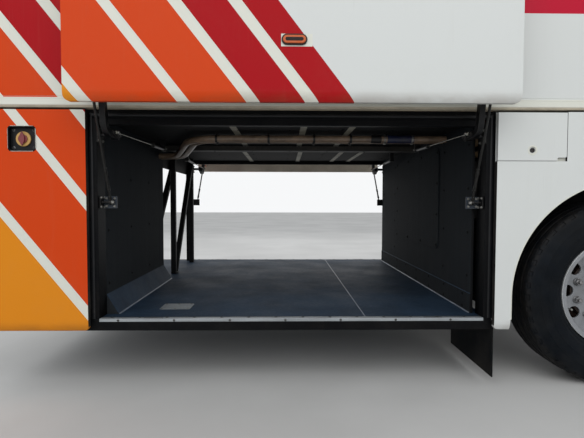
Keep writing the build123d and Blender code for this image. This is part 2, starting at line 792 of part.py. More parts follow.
# Heater pipes under the ceiling
pipe_radius = 22
pipe_height = ceiling_height - 33
pipe_end_height = ceiling_height - 81
pipe_depths = (565, 622)
pipe_turn_x = opening_rear + 417
pipe_rear_x = rear_face + 140
pipe_shift = 640
pipe_bends = (250, 140)
pipe_angle = math.atan2(pipe_shift, pipe_turn_x - pipe_rear_x)
clamp_width = 14
clamp_radius = 27
clamp_places = (592, 931, 1227, 1466)


def pipe_route(depth):
    """Corner points and bend radii of a pipe, which keeps its distance from the outermost one round the bends."""
    aside = depth - pipe_depths[0]
    further = aside * math.tan(pipe_angle / 2)
    end_depth = depth + pipe_shift
    points = [
        (front_wall_face, skin_y + depth, level(pipe_height)),
        (pipe_turn_x + further, skin_y + depth, level(pipe_height)),
        (pipe_rear_x + further, skin_y + end_depth, level(pipe_end_height)),
        (rear_face, skin_y + end_depth, level(pipe_end_height)),
    ]
    return points, [pipe_bends[0] - aside, pipe_bends[1] + aside]


with BuildPart() as heater_pipes:
    for depth in pipe_depths:
        route, bends = pipe_route(depth)
        with BuildLine() as path:
            FilletPolyline(*route, radius=bends)
        with BuildSketch(Plane(route[0], z_dir=(-1, 0, 0))):
            Circle(pipe_radius)
        sweep(path=path.line)
save(heater_pipes, "heater_pipes")

coupling_x = (opening_front - 455, opening_front - 282)
with BuildPart() as pipe_coupling:
    with BuildSketch(Plane.YZ.offset(coupling_x[0])):
        with Locations((skin_y + pipe_depths[0], level(pipe_height))):
            Circle(clamp_radius)
            Circle(pipe_radius + pin_gap, mode=Mode.SUBTRACT)
    extrude(amount=coupling_x[1] - coupling_x[0])
save(pipe_coupling, "pipe_coupling")

with BuildPart() as pipe_clamps:
    for along in clamp_places:
        x = opening_rear + along
        with BuildSketch(Plane.YZ.offset(x - clamp_width / 2)):
            for depth in pipe_depths:
                with Locations((skin_y + depth, level(pipe_height))):
                    Circle(clamp_radius)
            middle_depth = sum(pipe_depths) / 2
            with Locations((skin_y + middle_depth, level(ceiling_height))):
                Rectangle(20, ceiling_height - pipe_height, align=(Align.CENTER, Align.MAX))
            for depth in pipe_depths:
                with Locations((skin_y + depth, level(pipe_height))):
                    Circle(pipe_radius + pin_gap, mode=Mode.SUBTRACT)
        extrude(amount=clamp_width)
save(pipe_clamps, "pipe_clamps")

# Front axle
kingpin_y = skin_y + kingpin_depth
wheel_centre_depth = tyre_face_depth + tyre_width / 2
wheel_y = skin_y + wheel_centre_depth
hub_plane_y = wheel_y
axle_z = level(axle_height)
beam_height = 80
beam_width = 70
beam_low = 440
eye_radius = 45
eye_half = 50
kingpin_radius = 22
fork_gap = 0.5
fork_height = 32
seat_plate = 10
seat_x = (axle_x - 110, axle_x + 140)
with BuildPart() as axle_beam:
    with BuildSketch(Plane.YZ.offset(axle_x - beam_width / 2)):
        with BuildLine():
            FilletPolyline((0, level(beam_low)), (-620, level(beam_low)), (-760, axle_z), (kingpin_y, axle_z),
                           radius=60)
        trace(line_width=beam_height)
    extrude(amount=beam_width)
    with BuildSketch(Plane.XY.offset(axle_z - eye_half)):
        with Locations((axle_x, kingpin_y)):
            Circle(eye_radius)
    extrude(amount=2 * eye_half)
    with BuildSketch(Plane.XY.offset(axle_z - eye_half - fork_height)):
        with Locations((axle_x, kingpin_y)):
            Circle(kingpin_radius)
    extrude(amount=2 * eye_half + 2 * fork_height)
    bar(seat_x, (-rail_offset - 60, -rail_offset + 60),
        levels(beam_low + beam_height / 2, beam_low + beam_height / 2 + seat_plate))
    mirror(about=Plane.XZ)
save(axle_beam, "axle_beam")

seat_top = beam_low + beam_height / 2 + seat_plate
bellows_radius = 115
bellows_x = axle_x
with BuildPart() as air_springs:
    with BuildSketch(Plane(( bellows_x, -rail_offset, level(seat_top)), x_dir=(1, 0, 0), z_dir=(0, -1, 0))):
        with BuildLine():
            height = rail_low - seat_top
            half = height / 2
            Polyline((0, 0), (60, 0), (70, 0.3 * height), (bellows_radius - 15, 0.42 * height))
            ThreePointArc((bellows_radius - 15, 0.42 * height), (bellows_radius, 0.6 * height),
                          (bellows_radius - 12, 0.8 * height))
            Polyline((bellows_radius - 12, 0.8 * height), (bellows_radius - 12, height), (0, height), (0, 0))
        make_face()
    revolve(axis=Axis((bellows_x, -rail_offset, 0), (0, 0, 1)))
    mirror(about=Plane.XZ)
save(air_springs, "air_springs")

damper_x = axle_x + 128
damper_offset = 455
with BuildPart() as dampers:
    with BuildSketch(Plane.XY.offset(level(seat_top))):
        with Locations((damper_x + 8, -damper_offset)):
            Circle(11)
    extrude(amount=rail_low - seat_top)
    with BuildSketch(Plane.XY.offset(level(seat_top) + 60)):
        with Locations((damper_x + 8, -damper_offset)):
            Circle(20)
    extrude(amount=190)
    mirror(about=Plane.XZ)
save(dampers, "dampers")

rod_height = beam_low
with BuildPart() as radius_rods:
    with BuildSketch(Plane.YZ.offset(axle_x + beam_width / 2)):
        with Locations((-hanger_offset, level(rod_height))):
            Circle(18)
    extrude(amount=front_rail_end - 2 * tube - axle_x - beam_width / 2)
    mirror(about=Plane.XZ)
save(radius_rods, "radius_rods")

# Steering knuckles and tie rod
plate_y = kingpin_y - eye_radius - 6
knuckle_plate = 28
spindle_radius = 30
spindle_length = 84
arm_back = 190
tie_pin_radius = 11
tie_eye_radius = 24
tie_height = axle_z - eye_half - fork_gap - fork_height
tie_arm_thickness = 26
tie_pin = (axle_x - arm_back, kingpin_y)
with BuildPart() as knuckle:
    top = axle_z + eye_half + fork_gap + fork_height
    bottom = axle_z - eye_half - fork_gap - fork_height
    bar((axle_x - 50, axle_x + 50), (plate_y - knuckle_plate, plate_y), (bottom, top))
    for low in (bottom, top - fork_height):
        with BuildSketch(Plane.XY.offset(low)):
            with Locations((axle_x, kingpin_y)):
                Circle(eye_radius)
            with Locations((axle_x, (plate_y + kingpin_y) / 2)):
                Rectangle(2 * eye_radius, kingpin_y - plate_y)
            with Locations((axle_x, kingpin_y)):
                Circle(kingpin_radius + pin_gap, mode=Mode.SUBTRACT)
        extrude(amount=fork_height)
    with BuildSketch(Plane.XY.offset(bottom)):
        with BuildLine():
            Line((axle_x - 40, kingpin_y), tie_pin)
        trace(line_width=2 * tie_eye_radius)
        with Locations(tie_pin):
            Circle(tie_eye_radius)
        with Locations((axle_x, kingpin_y)):
            Circle(kingpin_radius + pin_gap, mode=Mode.SUBTRACT)
    extrude(amount=tie_arm_thickness)
    with BuildSketch(Plane.XY.offset(bottom - 34)):
        with Locations(tie_pin):
            Circle(tie_pin_radius)
    extrude(amount=34)
    with BuildSketch(Plane.XZ.offset(-plate_y + knuckle_plate)):
        with Locations((axle_x, axle_z)):
            Circle(spindle_radius)
    extrude(amount=spindle_length)
save_sides(knuckle, "steering_knuckle")

tie_rod_z = (tie_height - 34, tie_height - 4)
tie_rod_centre = (tie_rod_z[0] + tie_rod_z[1]) / 2
with BuildPart() as tie_rod:
    with BuildSketch(Plane.XZ.offset(-tie_pin[1] - tie_eye_radius / 2)):
        with Locations((tie_pin[0], tie_rod_centre)):
            Circle(13)
    extrude(amount=-(-tie_pin[1] * 2 - tie_eye_radius))
    for side in (-1, 1):
        with BuildSketch(Plane.XY.offset(tie_rod_z[0])):
            with Locations((tie_pin[0], side * -tie_pin[1])):
                Circle(tie_eye_radius)
        extrude(amount=tie_rod_z[1] - tie_rod_z[0])
        with BuildSketch(Plane.XY.offset(tie_rod_z[0])):
            with Locations((tie_pin[0], side * -tie_pin[1])):
                Circle(tie_pin_radius + pin_gap)
        extrude(amount=tie_rod_z[1] - tie_rod_z[0], mode=Mode.SUBTRACT)
save(tie_rod, "tie_rod")

# Wheels. Profiles are drawn as (radius, distance outwards from the tyre's middle plane).
bead_half = 105
flange_half = 117
rim_wall = 8
disc_face = 28
disc_sheet = 12
hub_radius = 100
stud_circle = 167.5
stud_count = 10
hand_hole_circle = 212
hand_hole_radius = 34
wheel_plane = Plane((axle_x, wheel_y, axle_z), x_dir=(1, 0, 0), z_dir=(0, 0, 1))
wheel_axis = Axis((axle_x, wheel_y, axle_z), (0, 1, 0))


def wheel_profile(points):
    """Closed outline in the wheel's own plane, where outwards of the middle plane is negative."""
    with BuildSketch(wheel_plane) as outline:
        with BuildLine():
            Polyline(*[(radius, -outwards) for radius, outwards in points], close=True)
        make_face()
    return outline.sketch


shoulder = 112
crown = 3
with BuildPart() as tyre:
    revolve(wheel_profile([
        (bead_radius + 1, bead_half - 1), (rim_radius + 2, bead_half - 1), (rim_radius + 8, 118),
        (345, 139), (395, 149), (440, 147), (478, 138), (500, 128), (tyre_radius - 3, shoulder),
        (tyre_radius, shoulder - 40), (tyre_radius, 40 - shoulder), (tyre_radius - 3, -shoulder), (500, -128),
        (478, -138), (440, -147), (395, -149), (345, -139), (rim_radius + 8, -118),
        (rim_radius + 2, 1 - bead_half), (bead_radius + 1, 1 - bead_half),
    ]), axis=wheel_axis)
save_sides(tyre, "tyre")

with BuildPart() as wheel_rim:
    revolve(wheel_profile([
        (bead_radius, bead_half), (rim_radius, bead_half), (rim_radius, flange_half),
        (bead_radius - rim_wall, flange_half), (bead_radius - rim_wall, 60), (258, 44), (240, disc_face),
        (hub_radius + 1, disc_face), (hub_radius + 1, disc_face - disc_sheet),
        (240, disc_face - disc_sheet), (262, disc_face), (bead_radius - rim_wall, 30),
        (bead_radius - rim_wall, -flange_half), (rim_radius, -flange_half), (rim_radius, -bead_half),
        (bead_radius, -bead_half),
    ]), axis=wheel_axis)
    with BuildSketch(Plane.XZ.offset(-wheel_y)):
        with Locations((axle_x, axle_z)):
            with PolarLocations(hand_hole_circle, stud_count):
                Circle(hand_hole_radius)
    extrude(amount=70, mode=Mode.SUBTRACT)
save_sides(wheel_rim, "wheel_rim")

with BuildPart() as hub:
    revolve(wheel_profile([
        (spindle_radius + pin_gap, -17), (190, -17), (190, disc_face - disc_sheet),
        (hub_radius, disc_face - disc_sheet), (hub_radius, 60), (80, 84), (0, 88), (0, 66),
        (spindle_radius + pin_gap, 66),
    ]), axis=wheel_axis)
    with BuildSketch(Plane.XZ.offset(-wheel_y + disc_face)):
        with Locations((axle_x, axle_z)):
            with PolarLocations(stud_circle, stud_count):
                RegularPolygon(15, 6)
    extrude(amount=26)
save_sides(hub, "hub")
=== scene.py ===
import json
import math

import bmesh
import bpy
from mathutils import Matrix, Vector


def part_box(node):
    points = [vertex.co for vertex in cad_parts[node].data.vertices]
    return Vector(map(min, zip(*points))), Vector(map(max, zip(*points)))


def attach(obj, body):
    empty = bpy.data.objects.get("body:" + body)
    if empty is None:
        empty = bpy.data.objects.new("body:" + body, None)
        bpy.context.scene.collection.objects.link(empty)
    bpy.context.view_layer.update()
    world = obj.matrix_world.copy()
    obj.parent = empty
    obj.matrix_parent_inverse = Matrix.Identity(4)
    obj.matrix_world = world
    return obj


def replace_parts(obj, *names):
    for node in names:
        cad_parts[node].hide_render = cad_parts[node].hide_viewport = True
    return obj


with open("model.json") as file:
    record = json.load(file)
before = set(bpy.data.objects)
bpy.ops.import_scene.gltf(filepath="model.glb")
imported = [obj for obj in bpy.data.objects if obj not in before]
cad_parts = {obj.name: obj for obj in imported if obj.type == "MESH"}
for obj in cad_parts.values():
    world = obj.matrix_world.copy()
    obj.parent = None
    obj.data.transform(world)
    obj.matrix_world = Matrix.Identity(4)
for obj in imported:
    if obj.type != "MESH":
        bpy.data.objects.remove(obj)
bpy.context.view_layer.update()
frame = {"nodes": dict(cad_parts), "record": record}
print("frame loaded,", len(frame["nodes"]), "pieces")

# Places that several pieces share, from the frame, in metres
sides = ("near", "far")
ends = ("rear", "front")
roadLevel = -0.925          # the row's zero is 925 mm above the road
halfWidth = -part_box("arch_panel_near")[0].y
doorBoxes = {side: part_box("luggage_door_" + side) for side in sides}
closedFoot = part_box("rear_skirt_near")[0].z
doorRise = {side: doorBoxes[side][0].z - closedFoot for side in sides}
doorOut = {"near": -halfWidth - doorBoxes["near"][0].y, "far": doorBoxes["far"][1].y - halfWidth}
doorMiddle = (doorBoxes["near"][0].x + doorBoxes["near"][1].x) / 2
tyreMiddle = {side: (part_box("tyre_" + side)[0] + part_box("tyre_" + side)[1]) / 2 for side in sides}
bodyOf = {node: body for body, nodes in frame["record"]["behaviour"]["bodies"].items() for node in nodes}
slotOf = {part["node"]: part["material_slot"] for part in frame["record"]["subparts"]}
signOf = {"near": -1, "far": 1}
outward = {side: (0, signOf[side], 0) for side in sides}
down, up, forward, backward = (0, 0, -1), (0, 0, 1), (1, 0, 0), (-1, 0, 0)


def onHeight(height):
    return height + roadLevel


# A point from its place along the coach, its depth behind the side skin and its height above the road
def at(along, depth, height, side="near"):
    return Vector((along, signOf[side] * (halfWidth - depth), height + roadLevel))


# Rows of such points
def grid(alongs, depths, heights, side="near"):
    return [at(along, depth, height, side) for along in alongs for depth in depths for height in heights]


# The same place at the rear and at the front end of a luggage door
def atEnd(along, end):
    return along if end == "rear" else 2 * doorMiddle - along


# Pairs written in millimetres
def metres(pairs):
    return [(first / 1000, second / 1000) for first, second in pairs]


# A colour as it is seen, 0 to 255, in the linear values that shaders use
def tint(red, green, blue):
    seen = [part / 255 for part in (red, green, blue)]
    return [part / 12.92 if part < 0.04045 else ((part + 0.055) / 1.055) ** 2.4 for part in seen] + [1]


# Shader helpers: a value is a number, a colour or a socket, and a node joins the tree of the sockets it is given
def isSocket(value):
    return isinstance(value, bpy.types.NodeSocket)


def feed(target, value):
    if isSocket(value):
        target.id_data.links.new(value, target)
    else:
        target.default_value = value


def addNode(tree, kind, **settings):
    node = tree.nodes.new(kind)
    for name, value in settings.items():
        setattr(node, name, value)
    return node


def treeOf(*values):
    return next(value for value in values if isSocket(value)).id_data


def mathNode(operation, *values, clamp=False):
    node = addNode(treeOf(*values), "ShaderNodeMath", operation=operation, use_clamp=clamp)
    for target, value in zip(node.inputs, values):
        feed(target, value)
    return node.outputs[0]


def times(first, second, clamp=False):
    return mathNode("MULTIPLY", first, second, clamp=clamp)


def minus(first, second):
    return mathNode("SUBTRACT", first, second)


def timesPlus(first, second, third, clamp=False):
    return mathNode("MULTIPLY_ADD", first, second, third, clamp=clamp)


def mix(share, first, second):
    node = addNode(treeOf(share, first, second), "ShaderNodeMix", data_type="RGBA")
    for place, value in ((0, share), (6, first), (7, second)):
        feed(node.inputs[place], value)
    return node.outputs[2]


# From one number below low to another above high; 0 to 1 and smooth between, unless said otherwise
def ramp(value, low, high, first=0.0, last=1.0, kind="SMOOTHSTEP"):
    node = addNode(value.id_data, "ShaderNodeMapRange", interpolation_type=kind)
    for target, part in zip(node.inputs, (value, low, high, first, last)):
        feed(target, part)
    return node.outputs[0]


def mapped(vector, **settings):
    node = addNode(vector.id_data, "ShaderNodeMapping")
    for name, value in {"Vector": vector, **settings}.items():
        feed(node.inputs[name], value)
    return node.outputs[0]


def noise(vector, scale, detail=4, rough=0.55, stretch=None):
    if stretch:
        vector = mapped(vector, Scale=stretch)
    node = addNode(vector.id_data, "ShaderNodeTexNoise")
    for name, value in (("Vector", vector), ("Scale", scale), ("Detail", detail), ("Roughness", rough)):
        feed(node.inputs[name], value)
    return node.outputs["Fac"]


def xyz(vector):
    node = addNode(vector.id_data, "ShaderNodeSeparateXYZ")
    feed(node.inputs[0], vector)
    return node.outputs


# An empty shader node group that takes a vector and numbers: its tree, what goes in and what comes out
def startGroup(name, numbers, outputs):
    tree = bpy.data.node_groups.new(name, "ShaderNodeTree")
    tree.interface.new_socket("Vector", in_out="INPUT", socket_type="NodeSocketVector")
    for label, start in numbers.items():
        tree.interface.new_socket(label, in_out="INPUT", socket_type="NodeSocketFloat").default_value = start
    for label, kind in outputs.items():
        tree.interface.new_socket(label, in_out="OUTPUT", socket_type="NodeSocket" + kind)
    return tree, addNode(tree, "NodeGroupInput").outputs, addNode(tree, "NodeGroupOutput").inputs


def useGroup(group, vector, **values):
    node = addNode(vector.id_data, "ShaderNodeGroup", node_tree=group)
    for name, value in {"Vector": vector, **values}.items():
        feed(node.inputs[name], value)
    return node.outputs


# Patches of dirt, thicker towards the road
def makeGrimeGroup():
    tree, given, result = startGroup("grimePatches", {
        "Scale": 3.0, "Cover": 0.5, "Low": roadLevel, "High": roadLevel + 1}, {"Mask": "Float", "Fine": "Float"})
    cloud = noise(given["Vector"], given["Scale"], 8, 0.65)
    fine = noise(given["Vector"], times(given["Scale"], 14.0), 4, 0.6)
    lower = ramp(xyz(given["Vector"])[2], given["Low"], given["High"], 1.0, 0.25, "LINEAR")
    edge = minus(0.86, times(given["Cover"], 0.45))
    over = minus(timesPlus(fine, 0.35, times(cloud, 0.75)), edge)
    feed(result["Mask"], times(timesPlus(over, 3.2, 0.5, clamp=True), lower))
    feed(result["Fine"], fine)
    return tree


# Worn edges, from how far a rounded normal leans off the face, broken up by noise
def makeWearGroup():
    tree, given, result = startGroup("edgeWear", {"Width": 0.003, "Amount": 0.5, "Scale": 60.0}, {"Mask": "Float"})
    rounded = addNode(tree, "ShaderNodeBevel", samples=4)
    feed(rounded.inputs["Radius"], given["Width"])
    lean = addNode(tree, "ShaderNodeVectorMath", operation="DOT_PRODUCT")
    feed(lean.inputs[0], rounded.outputs[0])
    feed(lean.inputs[1], addNode(tree, "ShaderNodeNewGeometry").outputs["Normal"])
    off = minus(1.0, lean.outputs["Value"])
    raised = timesPlus(off, 4.0, minus(noise(given["Vector"], given["Scale"], 5, 0.7), 0.62))
    worn = times(ramp(raised, 0.0, 0.22), ramp(off, 0.004, 0.05))
    feed(result["Mask"], times(worn, given["Amount"], clamp=True))
    return tree


# Long thin scratches in three directions, each with its turn and stretch
scratchRuns = ((0.25, (1.0, 46.0, 1.0)), (-1.1, (1.2, 60.0, 1.2)), (1.4, (0.8, 38.0, 0.8)))


def makeScratchGroup():
    tree, given, result = startGroup("longScratches", {"Scale": 5.0, "Amount": 0.5}, {"Mask": "Float"})
    masks = []
    for turn, stretch in scratchRuns:
        turned = mapped(given["Vector"], Rotation=(0, 0, turn))
        masks.append(ramp(noise(turned, given["Scale"], 3, 0.6, stretch), 0.66, 0.72))
    lines = mathNode("MAXIMUM", mathNode("MAXIMUM", masks[0], masks[1]), masks[2])
    cloud = noise(given["Vector"], times(given["Scale"], 0.5), 3, 0.5)
    feed(result["Mask"], times(times(lines, ramp(cloud, 0.42, 0.62)), given["Amount"], clamp=True))
    return tree


livery = {
    "white": tint(206, 209, 207),
    "stripe": tint(211, 212, 202),
    "red": tint(160, 10, 20),
    "orange": tint(200, 66, 22),
    "amber": tint(214, 132, 30),
    "band": tint(182, 28, 52),
    "bandFoot": 2.008,        # height of the band under the windows
    "foot": 0.320,            # height at which the edges below are given
    "rise": 0.478,            # height over which each edge moves back by one step
    "middle": 1.620,          # the edges are counted from here, forwards
    # where each colour starts, from the rear, and its colour
    "edges": [(-1.617, "stripe"), (-1.522, "amber"), (-0.987, "stripe"), (-0.923, "orange"), (-0.528, "stripe"),
              (-0.4673, "orange"), (-0.2047, "stripe"), (-0.1401, "red"), (0.0712, "stripe"), (0.1367, "red"),
              (0.3045, "white")],
    "bareHalf": (0.073, 0.029),     # half of the oblong left white round a marker lamp
    "lampPlace": (1.664, 0.617),    # its middle, along and above the road, with the door closed
}


# Slanting stripes in a slight fan, as flat areas of colour over a side of the body
def makeLiveryGroup():
    tree, given, result = startGroup("slantedStripes", {
        "Rise": 0.0, "Step": 0.37, "Fan": 0.0195, "Shift": 0.0, "Bare": 0.0}, {"Color": "Color"})
    forwards, aside, upwards = xyz(given["Vector"])
    height = minus(upwards, given["Rise"])
    climb = mathNode("DIVIDE", minus(height, onHeight(livery["foot"])), livery["rise"])
    along = mathNode("ADD", minus(forwards, livery["middle"]), given["Shift"])
    place = mathNode("DIVIDE", timesPlus(given["Step"], climb, along), timesPlus(given["Fan"], climb, 1.0))
    areas = livery["amber"]
    for edge, colour in livery["edges"]:
        areas = mix(mathNode("GREATER_THAN", place, edge), areas, livery[colour])
    ahead = mathNode("GREATER_THAN", place, livery["edges"][-1][0])
    high = mathNode("GREATER_THAN", height, onHeight(livery["bandFoot"]))
    banded = mix(times(ahead, high), areas, livery["band"])
    inside = given["Bare"]
    middles = (livery["lampPlace"][0], onHeight(livery["lampPlace"][1]))
    for value, middle, half in zip((forwards, height), middles, livery["bareHalf"]):
        inside = times(inside, mathNode("LESS_THAN", mathNode("ABSOLUTE", minus(value, middle)), half))
    feed(result["Color"], mix(inside, banded, livery["stripe"]))
    return tree


grimePatches = makeGrimeGroup()
edgeWear = makeWearGroup()
longScratches = makeScratchGroup()
slantedStripes = makeLiveryGroup()


# A new material, its shader's sockets and Object coordinates. Plain values go on the shader's own sockets.
def startMaterial(name, **plain):
    material = bpy.data.materials.new(name)
    material.use_nodes = True
    sockets = material.node_tree.nodes["Principled BSDF"].inputs
    names = {"metallic": "Metallic", "roughness": "Roughness", "coat": "Coat Weight",
             "coatRoughness": "Coat Roughness", "specular": "Specular IOR Level"}
    for key, value in plain.items():
        sockets[names[key]].default_value = value
    return material, sockets, addNode(material.node_tree, "ShaderNodeTexCoord").outputs["Object"]


def setBump(sockets, height, depth, strength):
    bump = addNode(height.id_data, "ShaderNodeBump")
    for name, value in (("Distance", depth), ("Strength", strength), ("Height", height)):
        feed(bump.inputs[name], value)
    feed(sockets["Normal"], bump.outputs[0])


# Glossy coach paint: stripes, road film low down, dust and painted shade on the tucked foot, faint rub marks
paintLook = {"film": tint(150, 142, 124), "filmShare": 0.045, "filmLow": 0.3, "filmHigh": 1.1, "drips": 0.035,
             # foot: darker brown over the tucked foot, partly dust and partly painted shade
             "foot": tint(112, 84, 56), "footDustAndShadeShare": 0.32, "footLow": 0.336, "footHigh": 0.405,
             "rub": tint(120, 116, 110), "rubShare": 0.06, "roughness": 0.34, "waviness": 0.0005}


def bodyPaint(name, rise=0.0, step=0.37, fan=0.0195, shift=0.0, striped=True, bare=0.0):
    look = paintLook
    material, sockets, where = startMaterial(name, coat=0.03, coatRoughness=0.1, specular=0.06)
    colour = livery["stripe"]
    if striped:
        colour = useGroup(slantedStripes, where, Rise=rise, Step=step, Fan=fan, Shift=shift, Bare=bare)["Color"]
    grime = useGroup(grimePatches, where, Scale=2.6, Cover=0.34, Low=onHeight(look["filmLow"]) + rise,
                     High=onHeight(look["filmHigh"]) + rise)
    streaks = noise(where, 3.0, 5, 0.6, (9.0, 9.0, 0.5))
    film = timesPlus(grime["Mask"], look["filmShare"], times(ramp(streaks, 0.55, 0.8), look["drips"]), clamp=True)
    # The tucked foot is darkened brown in patches: dust, and painted shade where the skin rolls under
    low = minus(1.0, ramp(minus(xyz(where)[2], rise), onHeight(look["footLow"]), onHeight(look["footHigh"])))
    patchy = ramp(noise(where, 7.0, 5, 0.6, (0.6, 1.0, 1.0)), 0.3, 0.7)
    foot = times(low, times(patchy, look["footDustAndShadeShare"]))
    rubs = useGroup(longScratches, where, Scale=3.4, Amount=look["rubShare"])["Mask"]
    for share, over in ((film, look["film"]), (foot, look["foot"]), (rubs, look["rub"])):
        colour = mix(share, colour, over)
    feed(sockets["Base Color"], colour)
    dull = timesPlus(mathNode("ADD", film, foot), 0.7, look["roughness"])
    feed(sockets["Roughness"], timesPlus(grime["Fine"], 0.06, dull))
    wave = timesPlus(noise(where, 260.0, 2, 0.5), 0.06, noise(where, 2.2, 1, 0.4))
    setBump(sockets, wave, look["waviness"], 0.4)
    return material


# Painted, cast, moulded or bare surfaces: two tones, dust, worn edges and a fine grain
dustTone, rust = (122, 114, 103), (108, 66, 42)
coatLook = {
    "specular": 0.5, "coat": 0.0, "metallic": 0.0,
    "cloud": 0.7, "cloudScale": 6.0, "stretch": None,                       # the second tone and its patches
    "dust": 0.4, "dustShare": 0.5, "dustScale": 5.0, "dustColour": dustTone, "dustLow": roadLevel,
    "dustHigh": roadLevel + 3.0, "roughVary": 0.12,
    "wear": 0.0, "wearWidth": 0.003, "wearScale": 60.0, "bare": dustTone, "bareMetallic": 0.8,
    "scratch": 0.0, "scratchScale": 5.0, "scratchColour": None,             # None takes the bare tone
    "grain": 220.0, "grainDepth": 0.0006, "bump": 0.5,
}


def wornCoat(name, paint, roughness, **changes):
    look = {**coatLook, **changes}
    material, sockets, where = startMaterial(name, specular=look["specular"], coat=look["coat"], coatRoughness=0.2)
    paint = tint(*paint)
    cloud = noise(where, look["cloudScale"], 5, 0.6, look["stretch"])
    colour = mix(ramp(cloud, 0.32, 0.68), [part * look["cloud"] for part in paint[:3]] + [1], paint)
    grime = useGroup(grimePatches, where, Scale=look["dustScale"], Cover=look["dust"], Low=look["dustLow"],
                     High=look["dustHigh"])
    dusty = times(grime["Mask"], look["dustShare"])
    colour = mix(dusty, colour, tint(*look["dustColour"]))
    if look["scratch"]:
        lines = useGroup(longScratches, where, Scale=look["scratchScale"], Amount=look["scratch"])["Mask"]
        colour = mix(lines, colour, tint(*(look["scratchColour"] or look["bare"])))
    metallic = look["metallic"]
    if look["wear"]:
        worn = useGroup(edgeWear, where, Width=look["wearWidth"], Amount=look["wear"], Scale=look["wearScale"])["Mask"]
        colour = mix(worn, colour, tint(*look["bare"]))
        metallic = timesPlus(worn, look["bareMetallic"] - metallic, metallic, clamp=True)
    feed(sockets["Metallic"], metallic)
    feed(sockets["Base Color"], colour)
    rough = timesPlus(dusty, 0.5, roughness)
    feed(sockets["Roughness"], timesPlus(grime["Fine"], look["roughVary"], rough, clamp=True))
    setBump(sockets, noise(where, look["grain"], 4, 0.6), look["grainDepth"], look["bump"])
    return material


# Dark slate sheet, scuffed by luggage pushed across it
def floorSheet(name):
    look = {"base": tint(41, 58, 76), "dark": tint(29, 43, 58), "scuff": tint(78, 92, 112), "dust": tint(66, 76, 90),
            "roughness": 0.56, "dustShare": 0.14, "scuffShare": 0.5}
    material, sockets, where = startMaterial(name, specular=0.1)
    colour = mix(ramp(noise(where, 2.4, 6, 0.65), 0.3, 0.7), look["dark"], look["base"])
    scuffs = [useGroup(longScratches, where, Scale=scale, Amount=amount)["Mask"]
              for scale, amount in ((2.6, 0.55), (9.0, 0.35))]
    lines = mathNode("MAXIMUM", *scuffs)
    grime = useGroup(grimePatches, where, Scale=3.5, Cover=0.55, Low=roadLevel, High=roadLevel + 6)
    colour = mix(times(grime["Mask"], look["dustShare"]), colour, look["dust"])
    feed(sockets["Base Color"], mix(times(lines, look["scuffShare"]), colour, look["scuff"]))
    feed(sockets["Roughness"], timesPlus(lines, 0.15, timesPlus(grime["Mask"], 0.25, look["roughness"])))
    pips = addNode(where.id_data, "ShaderNodeTexVoronoi", feature="F1")
    feed(pips.inputs["Scale"], 190.0)
    feed(pips.inputs["Vector"], where)
    setBump(sockets, pips.outputs["Distance"], 0.0006, 0.4)
    return material


# Film-faced plywood deck with long grain and plies on its edges
def plywood(name):
    look = {"dark": tint(112, 84, 54), "light": tint(172, 140, 98), "ply": tint(86, 60, 36), "dirt": tint(96, 86, 74),
            "plies": 250.0, "plyShare": 0.45, "dirtShare": 0.35}
    material, sockets, where = startMaterial(name, roughness=0.55)
    grain = noise(where, 3.0, 8, 0.62, (0.8, 14.0, 14.0))
    fibre = noise(where, 30.0, 4, 0.6, (0.5, 12.0, 12.0))
    both = timesPlus(fibre, 0.4, times(grain, 0.6))
    colour = mix(ramp(both, 0.3, 0.7), look["dark"], look["light"])
    plies = mathNode("FRACT", times(xyz(where)[2], look["plies"]))
    facing = xyz(addNode(where.id_data, "ShaderNodeNewGeometry").outputs["Normal"])[2]
    onEdge = mathNode("LESS_THAN", mathNode("ABSOLUTE", facing), 0.5)
    dark = times(mathNode("GREATER_THAN", plies, 0.5), onEdge)
    colour = mix(times(dark, look["plyShare"]), colour, look["ply"])
    grime = useGroup(grimePatches, where, Scale=2.0, Cover=0.5, Low=roadLevel, High=roadLevel + 9)
    feed(sockets["Base Color"], mix(times(grime["Mask"], look["dirtShare"]), colour, look["dirt"]))
    setBump(sockets, both, 0.0008, 0.5)
    return material


# Amber lens plastic, ribbed inside
def amberLens(name):
    material, sockets, where = startMaterial(name, roughness=0.16, coat=0.03, coatRoughness=0.05, specular=0.15)
    ribs = addNode(where.id_data, "ShaderNodeTexWave", wave_type="BANDS", bands_direction="X")
    feed(ribs.inputs["Scale"], 75.0)
    feed(ribs.inputs["Vector"], where)
    feed(sockets["Base Color"], mix(ramp(ribs.outputs["Fac"], 0.2, 0.8), tint(166, 72, 34), tint(202, 108, 62)))
    setBump(sockets, ribs.outputs["Fac"], 0.0006, 0.5)
    return material


# Worn black tyre, dusty towards the tread
def rubberTyre(name, centre):
    look = {"dark": tint(6, 10, 15), "light": tint(13, 18, 24), "tread": tint(92, 84, 74), "dust": tint(78, 76, 72),
            "treadFrom": 0.470, "treadTo": 0.512, "treadShare": 0.16, "dustShare": 0.14}
    material, sockets, where = startMaterial(name, specular=0.08)
    colour = mix(ramp(noise(where, 7.0, 6, 0.65), 0.35, 0.7), look["dark"], look["light"])
    length = addNode(where.id_data, "ShaderNodeVectorMath", operation="LENGTH")
    feed(length.inputs[0], mapped(where, Location=(-centre.x, 0, -centre.z), Scale=(1, 0, 1)))
    outer = ramp(length.outputs["Value"], look["treadFrom"], look["treadTo"])
    dusty = ramp(noise(where, 22.0, 6, 0.7), 0.3, 0.75)
    colour = mix(times(outer, times(dusty, look["treadShare"])), colour, look["tread"])
    grime = useGroup(grimePatches, where, Scale=6.0, Cover=0.5, Low=roadLevel, High=roadLevel + 2.0)
    feed(sockets["Base Color"], mix(times(grime["Mask"], look["dustShare"]), colour, look["dust"]))
    feed(sockets["Roughness"], timesPlus(grime["Mask"], 0.25, 0.5))
    setBump(sockets, noise(where, 180.0, 3, 0.6), 0.0008, 0.4)
    return material


